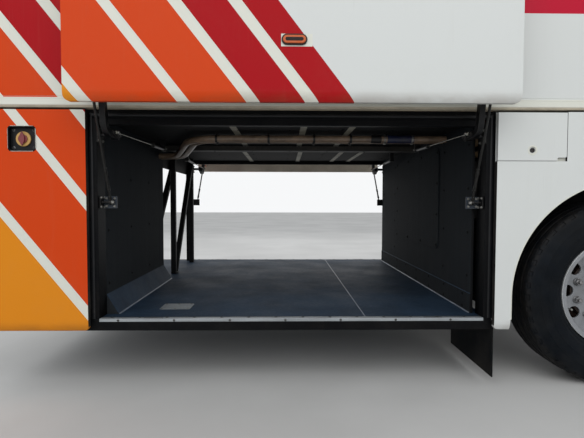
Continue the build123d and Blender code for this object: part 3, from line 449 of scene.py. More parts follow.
# Finishes, named as the frame's slots; the last ones are for faces and fittings that share a slot with another
finishes = {
    "body_paint": bodyPaint("coachPaint"),
    "rail_paint": bodyPaint("railPaint", striped=False),
    "floor_board": floorSheet("baySheet"),
    "deck_ply": plywood("deckPlywood"),
    "lamp_amber": amberLens("amberLens"),
    "tyre_black": rubberTyre("tyreRubber", tyreMiddle["near"]),
    "frame_black": wornCoat("framePaint", (6, 7, 10), 0.46, dustShare=0.05, wear=0.3, bare=(58, 58, 62), grain=150.0,
        specular=0.1),
    "wall_board": wornCoat("wallSheet", (26, 31, 36), 0.66, cloud=0.74, cloudScale=2.0, stretch=(9.0, 9.0, 0.35),
        dust=0.9, dustShare=0.17, dustLow=onHeight(0.45), dustHigh=onHeight(1.4), dustColour=(76, 77, 76),
        grain=420.0, grainDepth=0.0012, bump=0.7, specular=0.1),
    "galvanised": wornCoat("dullZinc", (150, 146, 130), 0.5, metallic=0.25, cloud=0.72, cloudScale=22.0, dust=0.5,
        dustShare=0.4, dustColour=(84, 74, 60), grain=90.0, grainDepth=0.0004),
    "seal_rubber": wornCoat("sealRubber", (13, 15, 19), 0.4, specular=0.3, dust=0.35, dustShare=0.1, grain=300.0,
        grainDepth=0.0003),
    "sill_aluminium": wornCoat("sillAluminium", (168, 174, 178), 0.34, metallic=0.7, cloud=0.72, cloudScale=8.0,
        stretch=(0.6, 8.0, 8.0), dustShare=0.3, scratch=0.4, scratchScale=9.0, scratchColour=(226, 228, 230)),
    "liner_black": wornCoat("archLining", (22, 26, 31), 0.85, dust=0.6, dustShare=0.22, grain=110.0,
        grainDepth=0.002, specular=0.2),
    "mud_rubber": wornCoat("flapRubber", (8, 11, 15), 0.55, specular=0.1, dust=0.5, dustShare=0.12, grain=200.0,
        scratch=0.12),
    "bracket_black": wornCoat("bracketPaint", (12, 13, 16), 0.4, specular=0.25, dust=0.35, dustShare=0.1, wear=0.6,
        bare=(96, 92, 88), grain=160.0, scratch=0.1),
    "gas_tube_black": wornCoat("springTube", (16, 16, 18), 0.3, dust=0.3, dustShare=0.25, wear=0.3,
        bare=(90, 90, 92)),
    "rod_chrome": wornCoat("polishedRod", (120, 118, 110), 0.2, metallic=1.0, cloud=0.8, dust=0.3, dustShare=0.3,
        grainDepth=0.0001),
    "switch_black": wornCoat("switchSurround", (8, 9, 12), 0.45, specular=0.25, dust=0.3, dustShare=0.1),
    "disc_yellow": wornCoat("fadedYellow", (190, 150, 84), 0.5, cloud=0.75, dustShare=0.3, wear=0.3,
        bare=(150, 120, 70), bareMetallic=0.0),
    "knob_red": wornCoat("knobPlastic", (112, 30, 38), 0.4, dustShare=0.3, wear=0.5, bare=(150, 84, 84),
        bareMetallic=0.0, coat=0.2),
    "pipe_lagging": wornCoat("hoseRubber", (136, 114, 94), 0.28, cloud=0.5, cloudScale=11.0, dust=0.55,
        dustShare=0.35, dustColour=(120, 104, 86), grain=60.0, grainDepth=0.003, specular=0.6),
    "coupling_blue": wornCoat("blueHose", (22, 30, 62), 0.4, cloud=0.6, dust=0.5, dustShare=0.4, grain=150.0),
    "clamp_black": wornCoat("clampPaint", (14, 14, 15), 0.45, dust=0.3, dustShare=0.2, wear=0.3, bare=(90, 90, 90)),
    "axle_cast": wornCoat("axlePaint", (26, 26, 27), 0.6, dust=0.6, dustShare=0.4, wear=0.5, bare=rust,
        bareMetallic=0.2, grain=60.0, grainDepth=0.0025),
    "bellows_rubber": wornCoat("bellowsRubber", (22, 22, 24), 0.55, dust=0.55, dustShare=0.35, grain=120.0),
    "damper_paint": wornCoat("damperPaint", (30, 32, 40), 0.4, dust=0.6, dustShare=0.4, wear=0.5, bare=rust,
        bareMetallic=0.2),
    "rim_silver": wornCoat("rimPaint", (140, 143, 147), 0.42, metallic=0.1, cloud=0.8, dust=0.5, dustShare=0.4,
        dustColour=(84, 78, 72), wear=0.3, bare=(196, 198, 200), grain=160.0),
    "hub_iron": wornCoat("hubIron", (122, 129, 136), 0.45, metallic=0.3, dust=0.6, dustColour=(96, 76, 60), wear=0.5,
        bare=(166, 166, 164), grain=120.0),
    "steel_rod": wornCoat("tieRodSteel", (84, 82, 80), 0.5, metallic=0.6, dust=0.7, dustShare=0.55, dustColour=rust),
    "doorInner": wornCoat("doorInner", (204, 196, 180), 0.6, cloud=0.8, cloudScale=4.0, dust=0.6, dustShare=0.4,
        dustColour=(92, 76, 60), grain=200.0),
    "skinInner": wornCoat("skinInner", (20, 20, 22), 0.75, specular=0.2, dust=0.6, dustShare=0.25, grain=160.0),
    "bracketPlate": wornCoat("bracketPlate", (46, 54, 64), 0.45, metallic=0.3, dustShare=0.2, wear=0.4,
        bare=(96, 100, 104)),
    # dark paint on screws, also used as painted shade on the front wall's end faces
    "hidden": wornCoat("screwPaintAndShade", (20, 21, 23), 0.6, dust=0.3, dustShare=0.05, specular=0.1),
    "ceilingSheet": wornCoat("ceilingSheet", (10, 11, 13), 0.7, dust=0.35, dustShare=0.08, grain=300.0,
        specular=0.16),
    "bolt": wornCoat("boltZinc", (150, 150, 146), 0.36, metallic=0.8, cloud=0.6, cloudScale=40.0, dust=0.5,
        dustShare=0.4),
    "darkBolt": wornCoat("boltBlack", (46, 46, 48), 0.4, metallic=0.5, dustShare=0.3, wear=0.6,
        bare=(120, 120, 118)),
    "nut": wornCoat("wheelNutSteel", (150, 152, 154), 0.32, metallic=0.85, cloud=0.6, cloudScale=50.0, dust=0.5,
        dustShare=0.4, dustColour=(104, 70, 48)),
    "wornLink": wornCoat("wornLinkSteel", (40, 40, 39), 0.36, metallic=0.6, cloud=0.45, cloudScale=30.0, dust=0.5,
        dustShare=0.35, dustColour=(48, 44, 40)),
    "seam": wornCoat("seamWeld", (98, 110, 128), 0.35, cloud=0.6, cloudScale=14.0, dustShare=0.3, grain=90.0),
    "plate": wornCoat("floorPlate", (140, 148, 152), 0.4, metallic=0.6, cloud=0.75, cloudScale=20.0, dust=0.5,
        dustShare=0.3, scratch=0.4, scratchScale=20.0, scratchColour=(206, 210, 212)),
    "tube": wornCoat("dustyTube", (34, 32, 29), 0.55, metallic=0.1, dust=0.5, dustShare=0.4),
    "lampDark": wornCoat("lampWindow", (24, 16, 15), 0.25, dust=0.2, dustShare=0.1, specular=0.15),
    "lampRing": wornCoat("lampRing", (22, 18, 18), 0.5, dust=0.3, dustShare=0.2),
    # painted shade: the darker beige of the rub rail's downward-facing lower lip
    "lip": wornCoat("railLipShade", (190, 180, 160), 0.5, dust=0.6, dustShare=0.3, dustColour=(110, 98, 80)),
    # painted highlight: the bright outer edge of the wheel rims
    "rimHighlight": wornCoat("rimEdgeHighlight", (214, 217, 218), 0.35, metallic=0.15, cloud=0.8, dust=0.35, dustShare=0.3),
    # dark dusty iron, darkened further as painted shade inside the wheels, seen through the rims' hand holes
    "brakeIronAndShade": wornCoat("brakeIronAndShade", (34, 32, 31), 0.5, metallic=0.4, cloud=0.6, dust=0.6, dustShare=0.25,
        dustColour=rust),
}
doorPaint = {side: bodyPaint(side + "DoorPaint", rise=doorRise[side], step=0.3733, fan=0.0135, shift=-0.0238,
                             bare=1.0) for side in sides}
wallPaint = bodyPaint("wallPaint", step=0.383, shift=-0.025)
print("finishes made,", len(finishes) + len(doorPaint) + 1)


# Modelling helpers
def clearSelection():
    if bpy.context.mode != "OBJECT":
        bpy.ops.object.mode_set(mode="OBJECT")
    bpy.ops.object.select_all(action="DESELECT")


def makeActive(piece):
    clearSelection()
    bpy.context.view_layer.objects.active = piece
    piece.select_set(True)


def applyModifiers(piece):
    makeActive(piece)
    for modifier in list(piece.modifiers):
        bpy.ops.object.modifier_apply(modifier=modifier.name)


def smoothBelow(piece, degrees):
    makeActive(piece)
    bpy.ops.object.shade_smooth_by_angle(angle=math.radians(degrees))
    flat = piece.modifiers.new("flatFaces", "WEIGHTED_NORMAL")
    flat.weight = 80
    flat.keep_sharp = True
    applyModifiers(piece)


# Goes into edit mode with what the test picks selected: vertices, edges or faces
def choose(piece, kind, test=None):
    if bpy.context.mode != "EDIT_MESH" or bpy.context.active_object is not piece:
        makeActive(piece)
        bpy.ops.object.mode_set(mode="EDIT")
    bpy.ops.mesh.select_mode(type=kind)
    bpy.ops.mesh.select_all(action="DESELECT" if test else "SELECT")
    if not test:
        return
    mesh = bmesh.from_edit_mesh(piece.data)
    for element in {"VERT": mesh.verts, "EDGE": mesh.edges, "FACE": mesh.faces}[kind]:
        if test(element):
            element.select_set(True)
    mesh.select_flush_mode()
    bmesh.update_edit_mesh(piece.data)


def leaveEdit():
    bpy.ops.object.mode_set(mode="OBJECT")


# The piece just added, named, with its place in its mesh
def takeActive(name):
    piece = bpy.context.active_object
    piece.name = name
    bpy.ops.object.transform_apply(location=True, rotation=True, scale=True)
    return piece


# Insets the picked faces once for each thickness and depth
def insetFaces(piece, test, *steps):
    choose(piece, "FACE", test)
    for thickness, depth in steps:
        bpy.ops.mesh.inset(thickness=thickness, depth=depth)
    leaveEdit()


def faceOutwards(piece):
    choose(piece, "FACE")
    bpy.ops.mesh.normals_make_consistent(inside=False)
    leaveEdit()


# Bevels the edges sharper than the angle, or those of them that the test picks
def soften(piece, width, segments=2, angle=30, test=None):
    def sharp(edge):
        return len(edge.link_faces) == 2 and edge.calc_face_angle(0) > math.radians(angle)
    choose(piece, "EDGE", (lambda edge: sharp(edge) and test(edge)) if test else sharp)
    bpy.ops.mesh.bevel(offset=width, segments=segments, affect="EDGES", clamp_overlap=True)
    leaveEdit()
    return piece


def slab(name, low, high, width=0.0, segments=2):
    clearSelection()
    low, high = Vector(low), Vector(high)
    size = [abs(high[place] - low[place]) for place in range(3)]
    bpy.ops.mesh.primitive_cube_add(size=1, location=(low + high) / 2, scale=size)
    piece = takeActive(name)
    return soften(piece, width, segments) if width else piece


def rod(name, start, end, radius, corners=24, width=0.0, segments=2):
    clearSelection()
    start, end = Vector(start), Vector(end)
    turn = (end - start).to_track_quat("Z", "Y").to_euler()
    bpy.ops.mesh.primitive_cylinder_add(vertices=corners, radius=radius, depth=(end - start).length,
                                        location=(start + end) / 2, rotation=turn)
    piece = takeActive(name)
    return soften(piece, width, segments, 60) if width else piece


def joined(pieces, name):
    clearSelection()
    for piece in pieces:
        piece.select_set(True)
    bpy.context.view_layer.objects.active = pieces[0]
    if len(pieces) > 1:
        bpy.ops.object.join()
    pieces[0].name = name
    return pieces[0]


# A line drawn point by point, from a primitive merged to one vertex
def drawLine(name, points):
    clearSelection()
    bpy.ops.mesh.primitive_plane_add(size=0.001, location=points[0])
    piece = takeActive(name)
    choose(piece, "VERT")
    bpy.ops.mesh.merge(type="CENTER")
    for before, after in zip(points, points[1:]):
        step = Vector(after) - Vector(before)
        bpy.ops.mesh.extrude_vertices_move(TRANSFORM_OT_translate={"value": step})
    return piece


# A flat outline carried along a straight path
def drawn(name, points, shift, width=0.0, segments=1, angle=30):
    piece = drawLine(name, points)
    choose(piece, "VERT")
    bpy.ops.mesh.edge_face_add()
    choose(piece, "FACE")
    bpy.ops.mesh.extrude_region_move(TRANSFORM_OT_translate={"value": Vector(shift)})
    faceOutwards(piece)
    return soften(piece, width, segments, angle) if width else piece


# Turns all of a piece round an axis and merges what meets
def spinRound(piece, centre, axis, steps, angle=2 * math.pi):
    choose(piece, "VERT")
    bpy.ops.mesh.spin(steps=steps, angle=angle, center=centre, axis=axis)
    choose(piece, "VERT")
    bpy.ops.mesh.remove_doubles(threshold=0.00005)


# A profile spun round an axis. The profile closes on itself or starts and ends on the axis.
def spun(name, points, centre, axis, steps=64):
    piece = drawLine(name, points)
    spinRound(piece, centre, axis, steps)
    faceOutwards(piece)
    return piece


# A new object with a mesh of its own, copied from another's
def copyOf(model, name, place=Matrix.Identity(4)):
    copy = bpy.data.objects.new(name, model.data.copy())
    bpy.context.scene.collection.objects.link(copy)
    copy.data.transform(place)
    return copy


def aimed(direction):
    return Vector(direction).to_track_quat("Z", "Y").to_matrix().to_4x4()


# A piece's finish, shading and body; the finish is the slot's own unless another is named
def finish(piece, slot, look=None, body="root", degrees=34):
    smoothBelow(piece, degrees)
    piece.data.materials.clear()
    piece.data.materials.append(finishes[look or slot] if isinstance(look or slot, str) else look)
    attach(piece, body)
    return piece


# A second finish on the faces that the test picks
def paintFaces(piece, look, test):
    piece.data.materials.append(finishes[look] if isinstance(look, str) else look)
    place = len(piece.data.materials) - 1
    for face in piece.data.polygons:
        if test(face.center, face.normal):
            face.material_index = place


# A copy of a CAD piece with its doubles merged, its flat faces joined and its edges softened
dress = {"merge": 0.00002, "flat": 0.6, "segments": 2, "angle": 28, "corners": 6,
         "split": ("luggage_door", "deck_frame", "floor_frame", "front_frame")}


def dressNode(node, bevel, look):
    piece = copyOf(frame["nodes"][node], node + "_dressed")
    choose(piece, "VERT")
    bpy.ops.mesh.remove_doubles(threshold=dress["merge"])
    bpy.ops.mesh.dissolve_limited(angle_limit=math.radians(dress["flat"]), delimit={"NORMAL"})
    # Large faces with openings are split, or the bevel folds them over
    if node.startswith(dress["split"]):
        choose(piece, "FACE", lambda face: len(face.verts) > dress["corners"])
        bpy.ops.mesh.quads_convert_to_tris(ngon_method="BEAUTY")
    leaveEdit()
    soft = piece.modifiers.new("softEdges", "BEVEL")
    soft.width = bevel
    soft.segments = dress["segments"]
    soft.limit_method = "ANGLE"
    soft.angle_limit = math.radians(dress["angle"])
    soft.use_clamp_overlap = True
    soft.miter_outer = "MITER_ARC"
    applyModifiers(piece)
    finish(piece, slotOf[node], look, bodyOf[node])
    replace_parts(piece, node)
    return piece


# Small parts that are made once and then copied. One unit is the washer's radius.
def makeHexBolt(name):
    washer = rod(name, (0, 0, -0.1), (0, 0, 0.18), 1.0, 18, 0.06, 1)
    head = rod(name, (0, 0, 0.1), (0, 0, 0.85), 0.82, 6)
    soften(head, 0.1, 1, 30, lambda edge: all(vertex.co.z > 0.8 for vertex in edge.verts))
    return joined([washer, head], name)


def makeScrew(name):
    head = rod(name, (0, 0, -0.2), (0, 0, 0.42), 1.0, 14, 0.22, 2)
    insetFaces(head, lambda face: face.normal.z > 0.9, (0.34, 0), (0.06, -0.26))
    return head


def makeNut(name):
    flange = spun(name, [(0, 0, -0.1), (1.0, 0, -0.1), (1.0, 0, 0.18), (0.86, 0, 0.34), (0, 0, 0.4)],
                  (0, 0, 0), up, 20)
    body = rod(name, (0, 0, 0.2), (0, 0, 1.15), 0.86, 6)
    soften(body, 0.12, 1, 30, lambda edge: all(vertex.co.z > 1.1 for vertex in edge.verts))
    stud = rod(name, (0, 0, 0.9), (0, 0, 1.85), 0.46, 12, 0.08, 1)
    return joined([flange, body, stud], name)


screwTurn = 0.4             # how much further each fastener of a row is turned, in radians
models = {"bolt": makeHexBolt("boltModel"), "screw": makeScrew("screwModel"), "nut": makeNut("nutModel")}


# Bolts, screws or nuts of one size and direction, riding on one body, each turned a little further
def fasteners(name, kind, points, direction, size, look, slot, body="root", degrees=34):
    copies = [copyOf(models[kind], name, Matrix.Translation(point) @ aimed(direction) @ Matrix.Rotation(
        screwTurn * place, 4, "Z") @ Matrix.Scale(size, 4)) for place, point in enumerate(points)]
    return finish(joined(copies, name), slot, look, body, degrees)


print("helpers ready")

# CAD pieces whose edges are softened, by width in metres
softEdges = {
    0.0006: ("switch_frame",), 0.0008: ("ceiling_straps",), 0.001: ("mud_flaps", "gas_cylinders"),
    0.0012: ("switch_disc",), 0.0015: ("wall_access_panel", "door_brackets", "deck_board"),
    0.002: ("rear_wall", "front_wall", "rear_skirt", "arch_panel", "upper_wall", "dampers", "pipe_clamps"),
    0.0025: ("service_flap", "wheel_rim"), 0.003: ("door_posts", "rear_end_frame", "luggage_door", "radius_rods"),
    0.004: ("floor_frame", "deck_frame", "front_frame", "rear_truss", "ceiling_tube", "door_arms", "steering_knuckle"),
    0.01: ("axle_beam",),
}
# CAD pieces that are modelled anew further down
madeAnew = ("rub_rails", "door_seals", "sill_trims", "switch_knob", "marker_lamp", "tyre", "hub", "guide_links",
            "gas_rods", "air_springs")
skins = ("upper_wall", "rear_skirt", "arch_panel", "service_flap")
dressed = {}
for node, source in frame["nodes"].items():
    if node.startswith(madeAnew):
        continue
    look = finishes[slotOf[node]]
    if node.startswith("luggage_door"):
        look = doorPaint[node.rsplit("_", 1)[1]]
    elif node.startswith("upper_wall"):
        look = wallPaint
    width = next((width for width, starts in softEdges.items() if node.startswith(starts)), None)
    if width:
        dressed[node] = dressNode(node, width, look)
    else:
        source.data.materials.clear()
        source.data.materials.append(look)


# The skins' inner faces and edges are plain
inner = {"facing": -0.35, "deep": 0.008, "side": 0.5, "under": -0.2}


def paintInner(node, look):
    side = node.rsplit("_", 1)[1]
    sign = signOf[side]
    limit = doorBoxes[side][0 if sign < 0 else 1].y if node.startswith("luggage") else sign * halfWidth
    paintFaces(dressed[node], look, lambda centre, normal: sign * normal.y < inner["facing"] or (
        abs(limit - centre.y) > inner["deep"] and sign * normal.y < inner["side"] and normal.z > inner["under"]))


for node in dressed:
    if node.startswith("luggage_door"):
        paintInner(node, "doorInner")
    elif node.startswith(skins):
        paintInner(node, "skinInner")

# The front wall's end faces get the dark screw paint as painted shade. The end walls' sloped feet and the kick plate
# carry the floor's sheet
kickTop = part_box("bay_floor")[1].z + 0.3
paintFaces(dressed["front_wall"], "hidden", lambda centre, normal: abs(normal.y) > 0.9)
paintFaces(dressed["rear_wall"], "floor_board", lambda centre, normal: normal.x > 0.2 and 0.1 < normal.z)
paintFaces(dressed["front_wall"], "floor_board", lambda centre, normal: normal.x < -0.2 and (
    normal.z > 0.1 or centre.z < kickTop and centre.x < 2.66))
frame["nodes"]["ceiling_board"].data.materials[0] = finishes["ceilingSheet"]
dressed["ceiling_tube"].data.materials[0] = finishes["tube"]

# Rims get painted shade behind the wheel's middle and a painted highlight on their outer edge
rimLook = {"shadeTo": 0.002, "highlightFrom": 0.284, "highlightOut": 0.1}
for side, axle in tyreMiddle.items():
    rim, sign = dressed["wheel_rim_" + side], signOf[side]
    # painted shade: the rim's back faces in the near-black iron finish
    paintFaces(rim, "brakeIronAndShade", lambda centre, normal: sign * (centre.y - axle.y) < rimLook["shadeTo"])
    # painted highlight: the rim's outer edge in a brighter silver
    paintFaces(rim, "rimHighlight", lambda centre, normal: abs(centre.y) > abs(axle.y) + rimLook["highlightOut"] and (
        math.hypot(centre.x - axle.x, centre.z - axle.z) > rimLook["highlightFrom"]))
print("CAD pieces dressed,", len(dressed))

# Rub rails: a rolled section with a proud cap, a long flat and a lower lip painted darker beige as painted shade under
# the rail
rail = {"rounding": 0.0008, "lip": 1.5200, "cap": 1.5598}
railProfile = metres((
    (-0.4, 1567), (-0.4, 1560), (-7, 1559), (-10, 1556.5), (-10, 1553.5), (-8.5, 1551), (-8.5, 1521.5), (-6, 1519.5),
    (-5.8, 1518), (-2, 1510), (2, 1508), (44, 1508), (44, 1567)))
low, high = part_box("rub_rails")
rails = joined([drawn("rubRail", [at(low.x, depth, height, side) for depth, height in railProfile],
                      (high.x - low.x, 0, 0), rail["rounding"], 1, 20) for side in sides], "rubRails")
finish(rails, "rail_paint", degrees=50)
# painted shade: the lower lip's downward faces get the darker beige finish
paintFaces(rails, "lip", lambda centre, normal: normal.z < -0.15 and centre.z < onHeight(rail["lip"]))
paintFaces(rails, wallPaint, lambda centre, normal: abs(normal.y) > 0.9 and centre.z > onHeight(rail["cap"]))
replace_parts(rails, "rub_rails")

# Door seals: half-round bulbs on a flat foot, up both posts and along the header
seal = {"post": 0.575, "foot": 0.045, "proud": 0.0024, "lift": 0.002, "width": 0.018, "low": 0.392, "high": 1.489,
        "steps": 7, "round": 0.44, "headFrom": 0.578, "headLow": 1.4715, "headRound": 4 / 9}


def bulb(start, width, reach):
    turns = [math.pi * step / seal["steps"] for step in range(seal["steps"] + 1)]
    arc = [(start + width * (0.5 - reach * math.cos(turn)),
            seal["foot"] - seal["lift"] - seal["proud"] * math.sin(turn)) for turn in turns]
    return [(start, seal["foot"])] + arc + [(start + width, seal["foot"])]


seals = []
for side in sides:
    for end in ends:
        width = seal["width"] if end == "rear" else -seal["width"]
        points = [at(along, depth, seal["low"], side)
                  for along, depth in bulb(atEnd(seal["post"], end), width, seal["round"])]
        seals.append(drawn("seal", points, (0, 0, seal["high"] - seal["low"])))
    points = [at(seal["headFrom"], depth, height, side)
              for height, depth in bulb(seal["headLow"], seal["width"], seal["headRound"])]
    seals.append(drawn("seal", points, (2 * (doorMiddle - seal["headFrom"]), 0, 0)))
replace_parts(finish(joined(seals, "doorSeals"), "seal_rubber", degrees=60), "door_seals")

# Sill trims: a grooved tread with a folded front lip, near-black plates as painted shade where the striker slots open,
# and screws
sill = {"strikers": (0.898, 2.422), "halfSlot": 0.050, "screws": 14, "screwsFrom": 0.06, "screwPitch": 0.148,
        "faceScrews": 7, "faceFrom": 0.1, "facePitch": 0.3}
sillProfile = metres((
    (43, 375.5), (43, 391), (43.6, 392), (50, 392), (50.4, 391.4), (52.4, 391.4), (52.8, 392), (61, 392),
    (61.4, 391.4), (63.4, 391.4), (63.8, 392), (77, 392), (78.8, 390.6), (78.8, 390.1), (45, 390.1), (45, 375.5)))
low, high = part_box("sill_trims")
trims, slotShades, screws = [], [], []
for side in sides:
    trims.append(drawn("sillTrim", [at(low.x, depth, height, side) for depth, height in sillProfile],
                       (high.x - low.x, 0, 0), 0.0003, 1))
    for along in sill["strikers"]:
        slot = slab("striker", at(along - sill["halfSlot"], 0.0525, 0.3912, side),
                    at(along + sill["halfSlot"], 0.0690, 0.3926, side))
        insetFaces(slot, lambda face: face.normal.z > 0.9, (0.003, -0.0008))
        slotShades.append(soften(slot, 0.0003, 1))
    screws += [at(low.x + sill["screwsFrom"] + sill["screwPitch"] * place, 0.0700, 0.3921, side)
               for place in range(sill["screws"])]
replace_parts(finish(joined(trims, "sillTrims"), "sill_aluminium", degrees=40), "sill_trims")
# painted shade: near-black plates stand for the striker slots' openings
finish(joined(slotShades, "strikerSlotShades"), "liner_black")
fasteners("sillScrews", "screw", screws, up, 0.0042, "darkBolt", "sill_aluminium")
for side in sides:
    screws = [at(low.x + sill["faceFrom"] + sill["facePitch"] * place, 0.0432, 0.3830, side)
              for place in range(sill["faceScrews"])]
    fasteners("sillFaceScrews", "screw", screws, outward[side], 0.0035, "darkBolt", "sill_aluminium")

# Bay floor: sealant beads along both walls, the joint between the sheets and a flush plate
bay = {"floor": 0.390, "bead": 0.006, "beadSteps": 3, "seam": 2.054, "plateMiddle": (0.962, 0.322),
       "plateHalf": (0.090, 0.070), "plateScrews": (0.076, 0.056), "ceiling": 1.466, "frontWall": 2.665,
       "rearWall": 0.6134}


def fillet(along, depthFrom, depthTo, sign):
    turns = [math.pi / 2 * step / bay["beadSteps"] for step in range(bay["beadSteps"] + 1)]
    arc = [(along, bay["floor"] - 0.001)] + [
        (along + sign * bay["bead"] * (1 - math.sin(turn)), bay["floor"] + bay["bead"] * (1 - math.cos(turn)))
        for turn in turns]
    return drawn("floorBead", [at(place, depthFrom, height) for place, height in arc], (0, depthTo - depthFrom, 0))


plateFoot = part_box("front_wall")[0].x
seam = [at(bay["seam"] + aside, 0.080, bay["floor"] + rise)
        for aside, rise in metres(((-3.5, 0), (-2.5, 1.2), (2.5, 1.2), (3.5, 0)))]
beads = [fillet(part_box("rear_wall")[1].x - 0.0015, 0.152, 1.298, 1), fillet(plateFoot, 0.152, 2.398, -1),
         drawn("floorSeam", seam, (0, 2.390, 0), 0.0004, 1)]
finish(joined(beads, "floorBeads"), "floor_board", "seam", degrees=60)
middle, half = bay["plateMiddle"], bay["plateHalf"]
plate = slab("floorPlate", at(middle[0] - half[0], middle[1] - half[1], bay["floor"]),
             at(middle[0] + half[0], middle[1] + half[1], bay["floor"] + 0.0022))
soften(plate, 0.012, 3, 30, lambda edge: abs(edge.verts[0].co.z - edge.verts[1].co.z) > 0.001)
finish(soften(plate, 0.0006, 1, 60), "floor_board", "plate")
across, deep = bay["plateScrews"]
screws = grid([middle[0] + aside for aside in (-across, 0, across)], [middle[1] - deep, middle[1] + deep],
              [bay["floor"] + 0.0024])
fasteners("plateScrews", "screw", screws, up, 0.0045, "bolt", "floor_board")

# Ceiling: cover strips over the boards' joints, and rows of screws
roof = {"strips": (1.275, 1.985), "halfStrip": 0.016, "screwsFrom": 0.68, "screwPitch": 0.32, "screws": 7,
        "screwDepths": (0.135, 0.42, 0.82, 1.12, 1.33, 1.80, 2.15, 2.41), "besideStrap": 0.011,
        # the straps' places along, and their screws' depths
        "straps": (((1.302, 1.722, 2.011), (0.125, 0.63, 1.145)),
                   ((1.253, 1.748, 2.115, 2.293), (1.300, 1.88, 2.425))),
        "tubeFrom": 0.75, "tubePitch": 0.3, "tubeScrews": 7}
strips = [slab("coverStrip", at(along - roof["halfStrip"], 0.102, bay["ceiling"] - 0.0022),
               at(along + roof["halfStrip"], 2.448, bay["ceiling"]), 0.0008, 1) for along in roof["strips"]]
finish(joined(strips, "ceilingStrips"), "wall_board", "ceilingSheet")
screws = grid([roof["screwsFrom"] + roof["screwPitch"] * place for place in range(roof["screws"])],
              roof["screwDepths"], [bay["ceiling"] - 0.0004])
fasteners("ceilingScrews", "screw", screws, down, 0.0048, "hidden", "wall_board")
screws = []
for straps, depths in roof["straps"]:
    places = [along + aside for along in straps for aside in (-roof["besideStrap"], roof["besideStrap"])]
    screws += grid(places, depths, [bay["ceiling"] - 0.0035])
fasteners("strapScrews", "screw", screws, down, 0.0062, "bolt", "galvanised")
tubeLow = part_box("ceiling_tube")[0].z - 0.0004
screws = [Vector((roof["tubeFrom"] + roof["tubePitch"] * place, -0.0525, tubeLow))
          for place in range(roof["tubeScrews"])]
fasteners("tubeScrews", "screw", screws, down, 0.0065, "darkBolt", "galvanised")

# End walls, kick plate and open truss: screws and bolts
panel = bay["frontWall"] - 0.0064
screws = grid([panel], (0.70, 1.05, 1.40, 1.747), (0.728, 1.362)) + grid([panel], (0.70, 1.747), (0.94, 1.15))
fasteners("panelScrews", "screw", screws, backward, 0.0065, "hidden", "wall_board")
screws = grid([bay["frontWall"] - 0.0003], (0.20, 0.58, 1.86, 2.30), (0.60, 0.85, 1.10, 1.35))
fasteners("wallScrews", "screw", screws, backward, 0.0055, "hidden", "wall_board")
screws = grid([bay["rearWall"]], (0.185, 0.55, 0.92, 1.27), (0.56, 0.86, 1.16, 1.43))
fasteners("rearWallScrews", "screw", screws, forward, 0.0055, "hidden", "wall_board")
screws = grid([plateFoot - 0.0003], [0.25 + 0.3 * place for place in range(8)], (0.415, 0.485))
fasteners("kickScrews", "screw", screws, backward, 0.0055, "hidden", "floor_board")
fasteners("trussBolts", "bolt", grid([0.6345], (1.583, 1.625), [0.398]), up, 0.011, "bolt", "frame_black")
print("bay fitted out")

# Door gear: depths and heights of its pivots, and places along the coach
gear = {"linkPivot": (0.095, 1.018), "armPivot": (0.080, 1.378), "length": 0.597, "linkX": 0.662, "rodX": 0.729,
        "angle": {"near": 69, "far": 49}, "crankTip": (0.0202, 1.3832), "anchor": (0.900, 1.4045),
        "slide": {"near": 0.0, "far": 0.0148}, "tube": 0.250, "anchorFace": 0.0172, "lockNuts": (0.0670, 0.1860),
        # the gas tube's collars: from, to and radius
        "collars": {"mouthCollar": (-0.004, 0.012, 0.0158), "tailCollar": (0.222, 0.236, 0.0155)},
        # bolts: half their spacing over depth and height, or their places
        "wallFace": 0.6194, "armBolts": (0.024, 0.030), "linkBolts": (0.020, 0.025), "flangeFace": 0.1146,
        "flangeX": (0.632, 0.676), "flangeZ": (0.997, 1.039)}
facings = {"rear": forward, "front": backward}

# Guide links: a turned rod with lock nuts, a turnbuckle and a ball joint at each end
linkProfile = metres((
    (0, 11.5), (8.8, 11.5), (9.2, 18), (9.2, 34), (7.2, 36.5), (5.8, 37), (5.8, 78), (8.2, 78.5), (9.2, 80),
    (9.2, 100), (7.8, 102), (7.8, 156), (9.2, 158), (9.2, 179), (8, 180.5), (6, 181), (6, 212), (7, 215), (7, 556),
    (8.6, 559), (9.2, 563), (9.2, 581), (8.8, 585.5), (0, 585.5)))
housingProfile = metres((
    (7.6, -7.8), (10.5, -7.8), (13.4, -5.8), (14, -3), (14, 3), (13.4, 5.8), (10.5, 7.8), (7.6, 7.8), (7.6, -7.8)))


def makeLink():
    stem = spun("linkStem", [(radius, 0, along) for radius, along in linkProfile], (0, 0, 0), up, 18)
    nuts = [rod("lockNut", (0, 0, low), (0, 0, low + 0.009), 0.0108, 6, 0.0012, 1) for low in gear["lockNuts"]]
    eyes = [spun("ballHousing", [(aside, 0, height + radius) for radius, aside in housingProfile], (0, 0, height),
                 forward, 28) for height in (0, gear["length"])]
    return joined([stem] + nuts + eyes, "linkModel")


linkModel = makeLink()
for side in sides:
    lean = math.radians(gear["angle"][side])
    turn = Matrix.Rotation(math.atan2(-signOf[side] * math.cos(lean), math.sin(lean)), 4, "X")
    links = [copyOf(linkModel, "guideLink", Matrix.Translation(
        at(atEnd(gear["linkX"], end), *gear["linkPivot"], side)) @ turn) for end in ends]
    links = finish(joined(links, "guideLinks_" + side), "bracket_black", "wornLink", "links_" + side)
    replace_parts(links, "guide_links_" + side)
bpy.data.objects.remove(linkModel)

